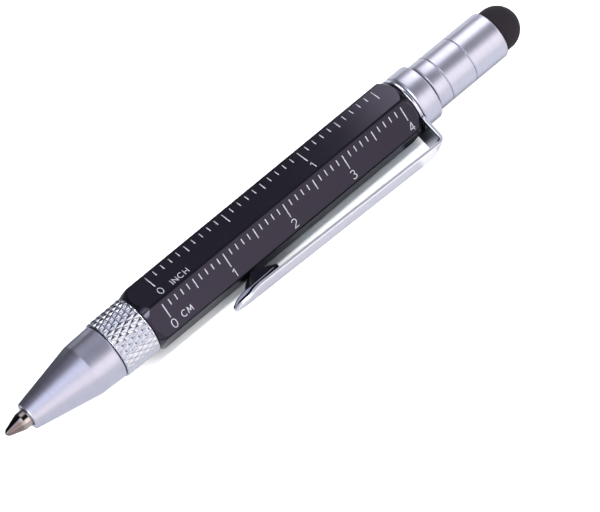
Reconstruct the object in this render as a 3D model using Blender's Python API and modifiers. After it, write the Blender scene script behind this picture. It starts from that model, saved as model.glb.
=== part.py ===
"""Mini twist ball pen with a ruled hexagonal barrel, a stylus cap and a screwdriver bit.

Every piece is built along the pen's axis, local Z, with the barrel's front face at zero, the
writing tip at the negative end and the stylus at the positive end. Local X points out of the
facet under the pocket clip. Two empties then lay the pen down: one turns its axis to world X,
the other rolls it until the barrel's lowest edge and the clip's edge both touch the table.
"""
import math

import bmesh
import bpy
from mathutils import Vector

# Clearances
FIT_CLEARANCE = 0.0001
SEAT_CLEARANCE = 0.00012
PART_LINE = 0.0003
LOOSE_CLEARANCE = 0.0003
CUT_OVERRUN = 0.001

# Hexagonal barrel
BARREL_FLATS = 0.0081
BARREL_LENGTH = 0.0444
BARREL_BORE_RADIUS = 0.0033
BARREL_EDGE_RADIUS = 0.00035
BARREL_END_RADIUS = 0.0039
BARREL_CHAMFER_LENGTH = 0.0012

# Knurled grip ring, which carries the nose and turns the cam tube
GRIP_LENGTH = 0.0048
GRIP_FRONT_RADIUS = 0.00402
GRIP_REAR_RADIUS = 0.00407
GRIP_BEVEL = 0.0002
KNURL_DEPTH = 0.00016
NOSE_SPIGOT_RADIUS = 0.0025
NOSE_SPIGOT_LENGTH = 0.0042
BEARING_SHOULDER = 0.0005
CAM_STUB_LENGTH = 0.003

# Nose cone
NOSE_LENGTH = 0.0127
NOSE_BAND_LENGTH = 0.0037
NOSE_MOUTH_RADIUS = 0.00187
NOSE_CREASE_RADIUS = 0.00366
NOSE_REAR_RADIUS = 0.0038
NOSE_REAR_BEVEL = 0.0003
NOSE_LIP_ROUNDING = 0.00018
NOSE_MOUTH_WALL = 0.00055
NOSE_MOUTH_DEPTH = 0.002

# Front bush, snap ring and friction ring
BUSH_INSET = 0.0003
BUSH_LENGTH = 0.0055
BUSH_WALL = 0.00038
SNAP_RING_THICKNESS = 0.0004
SNAP_RING_PROUD = 0.0003
SNAP_GROOVE_DEPTH = 0.0003
SNAP_RING_OPENING = 0.0012
GRIP_RING_SECTION = 0.0003
GRIP_RING_STATION = 0.003

# Refill
REFILL_RADIUS = 0.00118
REFILL_REACH = 0.00345
REFILL_WALL = 0.0002
POINT_CONE_LENGTH = 0.002
POINT_END_RADIUS = 0.00052
POINT_RIM_LENGTH = 0.0002
POINT_RIM_WALL = 0.00006
POINT_BASE_LENGTH = 0.005
POINT_PLUG_LENGTH = 0.002
INK_CHANNEL_RADIUS = 0.0002
BALL_RADIUS = 0.00035
BALL_REACH = 0.00025
BALL_CLEARANCE = 0.00004

# Twist mechanism
TWIST_TRAVEL = 0.004
CARRIER_WALL = 0.0005
CARRIER_SOCKET = 0.004
CARRIER_HEAD = 0.002
CAM_WALL = 0.00035
CAM_END = 0.0015
GUIDE_WALL = 0.00035
GUIDE_OVERHANG = 0.0006
GUIDE_LEAD = 0.004
PIN_RADIUS = 0.0004

# Tail bush and screwdriver bit
TAIL_DEPTH = 0.007
TAIL_SEAT_DEPTH = 0.002
TAIL_SPIGOT_RADIUS = 0.0026
TAIL_SPIGOT_LENGTH = 0.004
CAP_RING_SECTION = 0.0002
CAP_RING_INSET = 0.0012
BIT_FLATS = 0.0028
BIT_LENGTH = 0.0125
BIT_TIP_LENGTH = 0.0028
BIT_NECK_RADIUS = 0.00095
BIT_BLADE = 0.00045
BIT_CHAMFER = 0.0003

# Pocket clip
CLIP_THICKNESS = 0.00045
CLIP_WIDTH = 0.0055
CLIP_PLATE_RADIUS = 0.004
CLIP_ROOT_REACH = 0.0071
CLIP_END_REACH = 0.00615
CLIP_ARM_LENGTH = 0.0346
CLIP_BEND_RADIUS = 0.0009
PAD_LENGTH = 0.0069
PAD_WIDTH = 0.0048
PAD_WALL = 0.00045

# Collar and stylus cap
COLLAR_RADIUS = 0.004
COLLAR_LENGTH = 0.0028
COLLAR_BEVEL = 0.0003
CAP_RADIUS = 0.00342
CAP_LENGTH = 0.0119
CAP_BEVEL = 0.00028
CAP_GROOVE_WIDTH = 0.0002
CAP_GROOVE_DEPTH = 0.00015
CAP_GROOVE_STATIONS = (0.0022, 0.00635)
PLUG_RADIUS = 0.0025
PLUG_SEAT_DEPTH = 0.0015
PLUG_NECK_RADIUS = 0.0014
PLUG_NECK_LENGTH = 0.0009
PLUG_HEAD_RADIUS = 0.0021
PLUG_HEAD_LENGTH = 0.0009
DOME_RADIUS = 0.00303
DOME_STRAIGHT = 0.0011

# Counts and shares
SHELL_STEPS = 40
INNER_STEPS = 24
KNURL_DIAMONDS = 31
KNURL_ROWS = 10
HEX_SIDES = 6
EDGE_STEPS = 3
ARC_STEPS = 4
PIN_SIDES = 16
DOME_STEPS = 8
CAM_SWEEP = math.pi
CAM_SLOT_RUNOUT = 0.3
CAM_SLOT_STEPS = 28
MERGE_DISTANCE = 0.000001
PAD_OUTLINE_SHARES = ((0.0, 0.06), (0.25, 0.17), (0.45, 1.0), (0.61, 1.0))

# Radii that the fits give
HALF_FLATS = BARREL_FLATS / 2
HEX_CORNER_SHARE = math.cos(math.pi / HEX_SIDES)
SLEEVE_RADIUS = BARREL_BORE_RADIUS - FIT_CLEARANCE
BUSH_BORE = SLEEVE_RADIUS - BUSH_WALL
BEARING_RADIUS = BUSH_BORE - FIT_CLEARANCE
GRIP_BORE = REFILL_RADIUS + LOOSE_CLEARANCE
CARRIER_RADIUS = REFILL_RADIUS + FIT_CLEARANCE + CARRIER_WALL
CAM_BORE = CARRIER_RADIUS + FIT_CLEARANCE
CAM_RADIUS = CAM_BORE + CAM_WALL
GUIDE_BORE = CAM_RADIUS + FIT_CLEARANCE
GUIDE_RADIUS = GUIDE_BORE + GUIDE_WALL
CAP_SPIGOT_BORE = TAIL_SPIGOT_RADIUS + FIT_CLEARANCE
BIT_CORNER = BIT_FLATS / 2 / HEX_CORNER_SHARE
CAP_BIT_BORE = BIT_CORNER + LOOSE_CLEARANCE

# Stations along the axis, from the barrel's front face
GRIP_REAR = -PART_LINE
GRIP_FRONT = GRIP_REAR - GRIP_LENGTH
NOSE_REAR = GRIP_FRONT - PART_LINE
NOSE_CREASE = NOSE_REAR - NOSE_BAND_LENGTH
NOSE_MOUTH = NOSE_REAR - NOSE_LENGTH
SPIGOT_FRONT = GRIP_FRONT - NOSE_SPIGOT_LENGTH
TIP_END = NOSE_MOUTH - REFILL_REACH
BUSH_REAR = BUSH_INSET + BUSH_LENGTH
SNAP_FRONT = BUSH_REAR + SEAT_CLEARANCE
SNAP_REAR = SNAP_FRONT + SNAP_RING_THICKNESS
BEARING_REAR = SNAP_REAR + SEAT_CLEARANCE + BEARING_SHOULDER
TAIL_FRONT = BARREL_LENGTH - TAIL_DEPTH
GUIDE_REAR = TAIL_FRONT + TAIL_SEAT_DEPTH
CAM_REAR = GUIDE_REAR - GUIDE_OVERHANG
PIN_STATION = CAM_REAR - CAM_END - TWIST_TRAVEL
REFILL_REAR = PIN_STATION - CARRIER_HEAD / 2 - SEAT_CLEARANCE
CARRIER_FRONT = REFILL_REAR - CARRIER_SOCKET
CARRIER_REAR = PIN_STATION + CARRIER_HEAD / 2
PLATE_FRONT = BARREL_LENGTH + SEAT_CLEARANCE
PLATE_REAR = PLATE_FRONT + CLIP_THICKNESS
COLLAR_FRONT = PLATE_REAR + SEAT_CLEARANCE
COLLAR_REAR = COLLAR_FRONT + COLLAR_LENGTH
CAP_FRONT = COLLAR_REAR + PART_LINE
CAP_REAR = CAP_FRONT + CAP_LENGTH
TAIL_REAR = COLLAR_REAR + TAIL_SPIGOT_LENGTH
PLUG_FRONT = CAP_REAR - PLUG_SEAT_DEPTH
BIT_REAR = PLUG_FRONT - LOOSE_CLEARANCE
BIT_FRONT = BIT_REAR - BIT_LENGTH
HEAD_FRONT = CAP_REAR + PLUG_NECK_LENGTH
HEAD_REAR = HEAD_FRONT + PLUG_HEAD_LENGTH
DOME_FRONT = CAP_REAR + SEAT_CLEARANCE
ARM_END = PLATE_REAR - CLIP_ARM_LENGTH

# Colour, roughness and metallic value of each material
MATERIALS = {
    "satin_aluminium": ((0.62, 0.63, 0.68), 0.32, 1.0),
    "polished_steel": ((0.72, 0.72, 0.75), 0.12, 1.0),
    "black_lacquer": ((0.02, 0.02, 0.025), 0.32, 0.0),
    "nickel": ((0.55, 0.51, 0.48), 0.18, 1.0),
    "brass": ((0.72, 0.52, 0.22), 0.3, 1.0),
    "tool_steel": ((0.33, 0.33, 0.35), 0.35, 1.0),
    "black_rubber": ((0.022, 0.018, 0.022), 0.7, 0.0),
    "white_nylon": ((0.75, 0.74, 0.7), 0.5, 0.0),
    "carbide": ((0.25, 0.25, 0.27), 0.15, 1.0),
}


def clear_scene():
    """Remove every object that the start-up file holds."""
    for item in list(bpy.data.objects):
        bpy.data.objects.remove(item)


def new_collection(name):
    """Make a collection in the scene."""
    collection = bpy.data.collections.new(name)
    bpy.context.scene.collection.children.link(collection)
    return collection


def new_empty(name, parent):
    """Make an empty that carries pieces and is not a piece itself."""
    empty = bpy.data.objects.new(name, None)
    empty.parent = parent
    parts.objects.link(empty)
    return empty


def get_material(name):
    """Return the Principled material of a name, made on its first use."""
    if name in bpy.data.materials:
        return bpy.data.materials[name]
    colour, roughness, metallic = MATERIALS[name]
    material = bpy.data.materials.new(name)
    material.use_nodes = True
    shader = material.node_tree.nodes["Principled BSDF"]
    shader.inputs["Base Color"].default_value = (*colour, 1)
    shader.inputs["Roughness"].default_value = roughness
    shader.inputs["Metallic"].default_value = metallic
    return material


def add_piece(name, mesh, material, parent=None):
    """Put a mesh in the parts collection as a named piece of the pen."""
    piece = bpy.data.objects.new(name, mesh)
    mesh.materials.append(get_material(material))
    parts.objects.link(piece)
    piece.parent = parent or pen_axis
    return piece


def add_cutter(name, mesh):
    """Put a mesh in the cutters collection, hidden from renders."""
    cutter = bpy.data.objects.new(name, mesh)
    cutters.objects.link(cutter)
    cutter.parent = pen_axis
    cutter.hide_render = True
    cutter.display_type = 'WIRE'
    return cutter


def profile_mesh(name, points, closed):
    """Make a mesh of one line of edges through (radius, station) points."""
    mesh = bpy.data.meshes.new(name)
    vertices = [(radius, 0, station) for radius, station in points]
    edges = [(i, i + 1) for i in range(len(points) - 1)]
    if closed:
        edges.append((len(points) - 1, 0))
    mesh.from_pydata(vertices, edges, [])
    return mesh


def spin(piece, steps):
    """Turn a profile once round its local Z with a Screw modifier."""
    screw = piece.modifiers.new("turned", 'SCREW')
    screw.axis = 'Z'
    screw.angle = 2 * math.pi
    screw.steps = steps
    screw.render_steps = steps
    screw.use_merge_vertices = True
    screw.merge_threshold = MERGE_DISTANCE
    screw.use_smooth_shade = True
    return piece


def turned(name, points, material, steps=INNER_STEPS, closed=True):
    """A turned piece: outer side from the rear forward, then its bore from the front back."""
    return spin(add_piece(name, profile_mesh(name, points, closed), material), steps)


def turned_cutter(name, points, steps, closed=False):
    """A turned cutter, with the same order of points as a turned piece."""
    return spin(add_cutter(name, profile_mesh(name, points, closed)), steps)


def tube(outer, inner, front, rear):
    """Profile of a plain tube."""
    return [(outer, rear), (outer, front), (inner, front), (inner, rear)]


def arc(centre_radius, centre_station, radius, start, end, steps):
    """Points of a circular arc in a profile, with angles in degrees from the radial direction."""
    points = []
    for i in range(steps + 1):
        angle = math.radians(start + (end - start) * i / steps)
        across = centre_radius + radius * math.cos(angle)
        along = centre_station + radius * math.sin(angle)
        points.append((across, along))
    return points


def boolean(piece, cutter, operation='DIFFERENCE'):
    """Cut, join or intersect a piece with another object, with the exact solver."""
    modifier = piece.modifiers.new(cutter.name, 'BOOLEAN')
    modifier.operation = operation
    modifier.solver = 'EXACT'
    modifier.object = cutter


def evaluated_mesh(item):
    """A mesh of an object as its modifiers or its curve settings make it."""
    depsgraph = bpy.context.evaluated_depsgraph_get()
    return bpy.data.meshes.new_from_object(item.evaluated_get(depsgraph))


def welded_curve_mesh(name, curve):
    """A closed mesh of a curve, with its caps welded on."""
    path = bpy.data.objects.new(name, curve)
    bpy.context.scene.collection.objects.link(path)
    mesh = evaluated_mesh(path)
    bpy.data.objects.remove(path)
    shape = bmesh.new()
    shape.from_mesh(mesh)
    bmesh.ops.remove_doubles(shape, verts=shape.verts, dist=MERGE_DISTANCE)
    bmesh.ops.recalc_face_normals(shape, faces=shape.faces)
    shape.to_mesh(mesh)
    shape.free()
    return mesh


def prism_mesh(name, sides, corner_radius, front, rear):
    """A regular prism along local Z, with a corner on local Y."""
    mesh = bpy.data.meshes.new(name)
    shape = bmesh.new()
    bmesh.ops.create_cone(
        shape, cap_ends=True, segments=sides,
        radius1=corner_radius, radius2=corner_radius, depth=rear - front)
    bmesh.ops.translate(shape, verts=shape.verts, vec=(0, 0, (front + rear) / 2))
    shape.to_mesh(mesh)
    shape.free()
    return mesh


def box_mesh(name, low, high):
    """A box between two corners."""
    mesh = bpy.data.meshes.new(name)
    shape = bmesh.new()
    bmesh.ops.create_cube(shape, size=1)
    size = Vector(high) - Vector(low)
    middle = (Vector(high) + Vector(low)) / 2
    for vertex in shape.verts:
        for axis in range(3):
            vertex.co[axis] = middle[axis] + vertex.co[axis] * size[axis]
    shape.to_mesh(mesh)
    shape.free()
    return mesh


def outline_mesh(name, points, half_depth):
    """A flat outline in local X and Z, extruded to both sides along local Y."""
    curve = bpy.data.curves.new(name, 'CURVE')
    curve.dimensions = '2D'
    curve.fill_mode = 'BOTH'
    curve.extrude = half_depth
    spline = curve.splines.new('POLY')
    spline.points.add(len(points) - 1)
    for point, (across, along) in zip(spline.points, points):
        point.co = (across, along, 0, 1)
    spline.use_cyclic_u = True
    mesh = welded_curve_mesh(name, curve)
    for vertex in mesh.vertices:
        vertex.co = (vertex.co.x, -vertex.co.z, vertex.co.y)
    return mesh


def make_barrel():
    """Hexagonal barrel: a prism with rounded long edges, trimmed by a turned, bored envelope."""
    corner = HALF_FLATS / HEX_CORNER_SHARE
    mesh = prism_mesh("hex_barrel", HEX_SIDES, corner, -CUT_OVERRUN, BARREL_LENGTH + CUT_OVERRUN)
    shape = bmesh.new()
    shape.from_mesh(mesh)
    long_edges = [
        edge for edge in shape.edges
        if abs(edge.verts[0].co.z - edge.verts[1].co.z) > BARREL_LENGTH]
    offset = BARREL_EDGE_RADIUS * math.tan(math.pi / HEX_SIDES)
    bmesh.ops.bevel(
        shape, geom=long_edges, offset=offset, offset_type='OFFSET', segments=EDGE_STEPS,
        profile=0.5, affect='EDGES')
    shape.to_mesh(mesh)
    shape.free()
    barrel = add_piece("hex_barrel", mesh, "black_lacquer")
    widest = corner + CUT_OVERRUN
    envelope = turned_cutter("barrel_envelope", [
        (BARREL_END_RADIUS, BARREL_LENGTH),
        (corner, BARREL_LENGTH - BARREL_CHAMFER_LENGTH),
        (widest, BARREL_LENGTH - BARREL_CHAMFER_LENGTH),
        (widest, BARREL_CHAMFER_LENGTH),
        (corner, BARREL_CHAMFER_LENGTH),
        (BARREL_END_RADIUS, 0),
        (BARREL_BORE_RADIUS, 0),
        (BARREL_BORE_RADIUS, BARREL_LENGTH)], SHELL_STEPS, closed=True)
    boolean(barrel, envelope, 'INTERSECT')


def make_nose():
    """Nose cone with a rounded lip at its mouth, a crease before its rear band and a threaded seat."""
    seat_bore = NOSE_SPIGOT_RADIUS + FIT_CLEARANCE
    seat_front = SPIGOT_FRONT - SEAT_CLEARANCE
    mouth_bore = NOSE_MOUTH_RADIUS - NOSE_MOUTH_WALL
    lip_radius = NOSE_MOUTH_RADIUS - NOSE_LIP_ROUNDING
    lip_station = NOSE_MOUTH + NOSE_LIP_ROUNDING
    turned("nose_cone", [
        (NOSE_REAR_RADIUS - NOSE_REAR_BEVEL, NOSE_REAR),
        (NOSE_REAR_RADIUS, NOSE_REAR - NOSE_REAR_BEVEL),
        (NOSE_CREASE_RADIUS, NOSE_CREASE),
        *arc(lip_radius, lip_station, NOSE_LIP_ROUNDING, 0, -90, EDGE_STEPS),
        (mouth_bore, NOSE_MOUTH),
        (mouth_bore, NOSE_MOUTH + NOSE_MOUTH_DEPTH),
        (seat_bore - NOSE_MOUTH_WALL, seat_front),
        (seat_bore, seat_front),
        (seat_bore, NOSE_REAR)], "satin_aluminium", SHELL_STEPS)


def make_grip():
    """Knurled ring with a front spigot for the nose and a rear spigot that turns in the bush."""
    segments = 2 * KNURL_DIAMONDS
    knurl_front = GRIP_FRONT + GRIP_BEVEL
    knurl_rear = GRIP_REAR - GRIP_BEVEL
    rows = []
    for i in range(KNURL_ROWS + 1):
        share = i / KNURL_ROWS
        radius = GRIP_REAR_RADIUS + (GRIP_FRONT_RADIUS - GRIP_REAR_RADIUS) * share
        rows.append((radius, knurl_rear + (knurl_front - knurl_rear) * share))
    groove = BUSH_BORE - 2 * GRIP_RING_SECTION - 2 * SEAT_CLEARANCE
    half_groove = GRIP_RING_SECTION + SEAT_CLEARANCE
    snap_groove = BEARING_RADIUS - SNAP_GROOVE_DEPTH
    stub_radius = CAM_BORE - FIT_CLEARANCE
    profile = [
        (stub_radius, BEARING_REAR + CAM_STUB_LENGTH),
        (stub_radius, BEARING_REAR),
        (BEARING_RADIUS, BEARING_REAR),
        (BEARING_RADIUS, SNAP_REAR + SEAT_CLEARANCE),
        (snap_groove, SNAP_REAR + SEAT_CLEARANCE),
        (snap_groove, SNAP_FRONT - SEAT_CLEARANCE),
        (BEARING_RADIUS, SNAP_FRONT - SEAT_CLEARANCE),
        (BEARING_RADIUS, GRIP_RING_STATION + half_groove),
        (groove, GRIP_RING_STATION + half_groove),
        (groove, GRIP_RING_STATION - half_groove),
        (BEARING_RADIUS, GRIP_RING_STATION - half_groove),
        (BEARING_RADIUS, GRIP_REAR),
        (GRIP_REAR_RADIUS - GRIP_BEVEL, GRIP_REAR),
        *rows,
        (GRIP_FRONT_RADIUS - GRIP_BEVEL, GRIP_FRONT),
        (NOSE_SPIGOT_RADIUS, GRIP_FRONT),
        (NOSE_SPIGOT_RADIUS, SPIGOT_FRONT),
        (GRIP_BORE, SPIGOT_FRONT),
        (GRIP_BORE, BEARING_REAR + CAM_STUB_LENGTH)]
    blank = turned_cutter("grip_blank", profile, segments, closed=True)
    mesh = evaluated_mesh(blank)
    bpy.data.objects.remove(blank)
    cut_knurl(mesh, segments, knurl_front, knurl_rear)
    add_piece("knurled_grip_ring", mesh, "satin_aluminium")


def cut_knurl(mesh, segments, knurl_front, knurl_rear):
    """Sink every other vertex of the knurl's grid, so that pyramids stand between crossing cuts."""
    shape = bmesh.new()
    shape.from_mesh(mesh)
    row_step = (knurl_rear - knurl_front) / KNURL_ROWS
    edge_radius = GRIP_FRONT_RADIUS - GRIP_BEVEL
    sunk = set()
    for vertex in shape.verts:
        radius = math.hypot(vertex.co.x, vertex.co.y)
        inside = knurl_front - row_step / 2 < vertex.co.z < knurl_rear + row_step / 2
        if radius < edge_radius or not inside:
            continue
        row = round((vertex.co.z - knurl_front) / row_step)
        column = round(math.atan2(vertex.co.y, vertex.co.x) * segments / (2 * math.pi))
        if (row + column) % 2:
            share = (radius - KNURL_DEPTH) / radius
            vertex.co.x *= share
            vertex.co.y *= share
            sunk.add(vertex)
    for face in list(shape.faces):
        low = [vertex for vertex in face.verts if vertex in sunk]
        if len(face.verts) == 4 and len(low) == 2:
            bmesh.ops.connect_verts(shape, verts=low)
    shape.to_mesh(mesh)
    shape.free()


def make_front_bush():
    """Bush in the barrel's front end, in which the grip turns."""
    turned("front_bush", tube(SLEEVE_RADIUS, BUSH_BORE, BUSH_INSET, BUSH_REAR), "brass")


def make_snap_ring():
    """Open ring in the grip's groove, behind the bush, that keeps the grip from pulling out."""
    inner = BEARING_RADIUS - SNAP_GROOVE_DEPTH + FIT_CLEARANCE
    outer = BEARING_RADIUS + SNAP_RING_PROUD
    ring = turned("snap_ring", tube(outer, inner, SNAP_FRONT, SNAP_REAR), "tool_steel")
    gap = add_cutter("snap_ring_gap", box_mesh(
        "snap_ring_gap",
        (0, -SNAP_RING_OPENING / 2, SNAP_FRONT - CUT_OVERRUN),
        (outer + CUT_OVERRUN, SNAP_RING_OPENING / 2, SNAP_REAR + CUT_OVERRUN)))
    boolean(ring, gap)


def make_o_ring(name, bore, section, station):
    """Round rubber ring that lies in a groove, close to the bore around it."""
    centre = bore - SEAT_CLEARANCE - section
    circle = arc(centre, station, section, 90, -270, 2 * ARC_STEPS)[:-1]
    turned(name, circle, "black_rubber")


def make_refill_point():
    """Refill's nickel point: base, cone, ball socket and ink channel, with a plug in the tube."""
    base_rear = NOSE_MOUTH + POINT_BASE_LENGTH - REFILL_REACH
    face = TIP_END + BALL_REACH
    cone_end = face + POINT_RIM_LENGTH
    socket_radius = BALL_RADIUS + BALL_CLEARANCE
    socket_depth = 2 * BALL_RADIUS - BALL_REACH + BALL_CLEARANCE
    plug_radius = REFILL_RADIUS - REFILL_WALL - FIT_CLEARANCE
    turned("refill_point", [
        (plug_radius, base_rear + POINT_PLUG_LENGTH),
        (plug_radius, base_rear),
        (REFILL_RADIUS, base_rear),
        (REFILL_RADIUS, cone_end + POINT_CONE_LENGTH),
        (POINT_END_RADIUS, cone_end),
        (socket_radius + POINT_RIM_WALL, face),
        (socket_radius, face),
        (socket_radius, face + socket_depth),
        (INK_CHANNEL_RADIUS, face + socket_depth + socket_radius),
        (INK_CHANNEL_RADIUS, base_rear + POINT_PLUG_LENGTH)], "nickel")


def make_writing_ball():
    """Carbide ball that rolls in the point's socket."""
    mesh = bpy.data.meshes.new("writing_ball")
    shape = bmesh.new()
    bmesh.ops.create_uvsphere(shape, u_segments=16, v_segments=8, radius=BALL_RADIUS)
    shape.to_mesh(mesh)
    shape.free()
    mesh.shade_smooth()
    ball = add_piece("writing_ball", mesh, "carbide")
    ball.location.z = TIP_END + BALL_RADIUS


def make_refill_tube():
    """Ink tube from the point's shoulder to the carrier, open at its rear."""
    front = NOSE_MOUTH + POINT_BASE_LENGTH - REFILL_REACH + SEAT_CLEARANCE
    turned("refill_tube", tube(REFILL_RADIUS, REFILL_RADIUS - REFILL_WALL, front, REFILL_REAR), "brass")


def make_carrier():
    """Carrier that holds the refill's rear end and is driven along by the pin."""
    carrier = turned("refill_carrier", [
        (0, CARRIER_REAR),
        (CARRIER_RADIUS, CARRIER_REAR),
        (CARRIER_RADIUS, CARRIER_FRONT),
        (REFILL_RADIUS + FIT_CLEARANCE, CARRIER_FRONT),
        (REFILL_RADIUS + FIT_CLEARANCE, REFILL_REAR + SEAT_CLEARANCE),
        (0, REFILL_REAR + SEAT_CLEARANCE)], "white_nylon", closed=False)
    hole = cross_cylinder_mesh("pin_hole", PIN_RADIUS + FIT_CLEARANCE, 0, CAM_RADIUS)
    boolean(carrier, add_cutter("pin_hole", hole))


def cross_cylinder_mesh(name, radius, inner, outer):
    """A cylinder across the axis, at the pin's station, towards local minus X."""
    mesh = prism_mesh(name, PIN_SIDES, radius, inner, outer)
    shape = bmesh.new()
    shape.from_mesh(mesh)
    for vertex in shape.verts:
        vertex.co = (-vertex.co.z, vertex.co.y, PIN_STATION + vertex.co.x)
    bmesh.ops.recalc_face_normals(shape, faces=shape.faces)
    shape.to_mesh(mesh)
    shape.free()
    return mesh


def make_drive_pin():
    """Pin in the carrier that runs in the cam's curved slot and the guide's straight slot."""
    mesh = cross_cylinder_mesh("drive_pin", PIN_RADIUS, FIT_CLEARANCE, GUIDE_RADIUS - FIT_CLEARANCE)
    add_piece("drive_pin", mesh, "tool_steel")


def make_cam_tube():
    """Tube that turns with the grip; its curved slot pushes the pin along as it turns."""
    cam = turned("cam_tube", tube(CAM_RADIUS, CAM_BORE, BEARING_REAR + SEAT_CLEARANCE, CAM_REAR), "brass")
    curve = bpy.data.curves.new("cam_slot", 'CURVE')
    curve.dimensions = '3D'
    curve.bevel_depth = PIN_RADIUS + FIT_CLEARANCE
    curve.bevel_resolution = 2
    curve.use_fill_caps = True
    spline = curve.splines.new('POLY')
    spline.points.add(CAM_SLOT_STEPS)
    middle = (CAM_RADIUS + CAM_BORE) / 2
    for i, point in enumerate(spline.points):
        turn = -CAM_SLOT_RUNOUT + (CAM_SWEEP + 2 * CAM_SLOT_RUNOUT) * i / CAM_SLOT_STEPS
        angle = math.pi - turn
        station = PIN_STATION + TWIST_TRAVEL * turn / CAM_SWEEP
        point.co = (middle * math.cos(angle), middle * math.sin(angle), station, 1)
    boolean(cam, add_cutter("cam_slot", welded_curve_mesh("cam_slot", curve)))


def make_guide_sleeve():
    """Fixed sleeve around the cam, with a straight slot that keeps the pin from turning."""
    front = PIN_STATION - GUIDE_LEAD
    guide = turned("guide_sleeve", tube(GUIDE_RADIUS, GUIDE_BORE, front, GUIDE_REAR), "tool_steel")
    half_slot = PIN_RADIUS + FIT_CLEARANCE
    slot = add_cutter("guide_slot", box_mesh(
        "guide_slot",
        (-GUIDE_RADIUS - CUT_OVERRUN, -half_slot, PIN_STATION - half_slot),
        (0, half_slot, PIN_STATION + TWIST_TRAVEL + half_slot)))
    boolean(guide, slot)


def make_tail_bush():
    """Bush in the barrel's rear end: it seats the guide, passes the clip and collar and holds the bit."""
    groove = CAP_SPIGOT_BORE - 2 * CAP_RING_SECTION - 2 * SEAT_CLEARANCE
    half_groove = CAP_RING_SECTION + SEAT_CLEARANCE
    ring_station = TAIL_REAR - CAP_RING_INSET
    seat_bore = GUIDE_RADIUS + FIT_CLEARANCE
    bush = turned("tail_bush", [
        (0, TAIL_REAR),
        (TAIL_SPIGOT_RADIUS, TAIL_REAR),
        (TAIL_SPIGOT_RADIUS, ring_station + half_groove),
        (groove, ring_station + half_groove),
        (groove, ring_station - half_groove),
        (TAIL_SPIGOT_RADIUS, ring_station - half_groove),
        (TAIL_SPIGOT_RADIUS, COLLAR_REAR),
        (SLEEVE_RADIUS, COLLAR_REAR),
        (SLEEVE_RADIUS, TAIL_FRONT),
        (seat_bore, TAIL_FRONT),
        (seat_bore, GUIDE_REAR + SEAT_CLEARANCE),
        (0, GUIDE_REAR + SEAT_CLEARANCE)], "tool_steel", closed=False)
    socket_corner = (BIT_FLATS / 2 + FIT_CLEARANCE) / HEX_CORNER_SHARE
    socket = add_cutter("bit_socket", prism_mesh(
        "bit_socket", HEX_SIDES, socket_corner, BIT_FRONT - SEAT_CLEARANCE, TAIL_REAR + CUT_OVERRUN))
    boolean(bush, socket)


def make_bit():
    """Double-ended screwdriver bit: a hexagonal shank with a cross tip and a flat tip."""
    front_shoulder = BIT_FRONT + BIT_TIP_LENGTH
    rear_shoulder = BIT_REAR - BIT_TIP_LENGTH
    widest = BIT_CORNER + CUT_OVERRUN
    point_radius = BIT_NECK_RADIUS - BIT_BLADE
    bit = add_piece("screwdriver_bit", prism_mesh(
        "screwdriver_bit", HEX_SIDES, BIT_CORNER, BIT_FRONT, BIT_REAR), "tool_steel")
    envelope = turned_cutter("bit_envelope", [
        (0, BIT_REAR),
        (BIT_NECK_RADIUS, BIT_REAR),
        (BIT_NECK_RADIUS, rear_shoulder + BIT_CHAMFER),
        (BIT_CORNER - BIT_CHAMFER, rear_shoulder),
        (widest, rear_shoulder - BIT_CHAMFER - CUT_OVERRUN),
        (widest, front_shoulder + BIT_CHAMFER + CUT_OVERRUN),
        (BIT_CORNER - BIT_CHAMFER, front_shoulder),
        (BIT_NECK_RADIUS, front_shoulder - BIT_CHAMFER),
        (BIT_NECK_RADIUS, BIT_FRONT + BIT_NECK_RADIUS),
        (point_radius, BIT_FRONT),
        (0, BIT_FRONT)], INNER_STEPS)
    boolean(bit, envelope, 'INTERSECT')
    for side in (-1, 1):
        name = f"blade_side_{side}"
        low_x = min(side * BIT_BLADE / 2, side * BIT_CORNER)
        high_x = max(side * BIT_BLADE / 2, side * BIT_CORNER)
        flat = add_cutter(name, box_mesh(
            name, (low_x, -BIT_CORNER, rear_shoulder + 2 * BIT_CHAMFER),
            (high_x, BIT_CORNER, BIT_REAR + CUT_OVERRUN)))
        boolean(bit, flat)
    flute_rear = BIT_FRONT + BIT_TIP_LENGTH - 2 * BIT_CHAMFER
    for side_x in (-1, 1):
        for side_y in (-1, 1):
            name = f"cross_flute_{side_x}_{side_y}"
            corner = (side_x * BIT_BLADE / 2, side_y * BIT_BLADE / 2)
            far = (side_x * BIT_CORNER, side_y * BIT_CORNER)
            flute = add_cutter(name, box_mesh(
                name,
                (min(corner[0], far[0]), min(corner[1], far[1]), BIT_FRONT - CUT_OVERRUN),
                (max(corner[0], far[0]), max(corner[1], far[1]), flute_rear)))
            boolean(bit, flute)


def arm_reach(station):
    """Distance of the clip arm's outer face from the pen's axis, at a station."""
    share = (PLATE_REAR - station) / CLIP_ARM_LENGTH
    return CLIP_ROOT_REACH + (CLIP_END_REACH - CLIP_ROOT_REACH) * share


def add_clip_piece(name, mesh):
    """A steel piece that springs open about the clip's hinge, where it has its origin."""
    piece = add_piece(name, mesh, "polished_steel", clip_hinge)
    for vertex in mesh.vertices:
        vertex.co -= clip_hinge.location
    return piece


def round_ended_plan(name, half):
    """Cutter whose plan is a strip of a half width with a round end, centred on the arm's round end."""
    end_centre = ARM_END + CLIP_WIDTH / 2
    plan = outline_mesh(name, [
        (half, PLATE_REAR + CUT_OVERRUN),
        *arc(0, end_centre, half, 0, -180, 4 * ARC_STEPS),
        (-half, PLATE_REAR + CUT_OVERRUN)], CLIP_ROOT_REACH)
    for vertex in plan.vertices:
        vertex.co = (CLIP_ROOT_REACH + vertex.co.y, -vertex.co.x, vertex.co.z)
    return add_cutter(name, plan)


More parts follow.
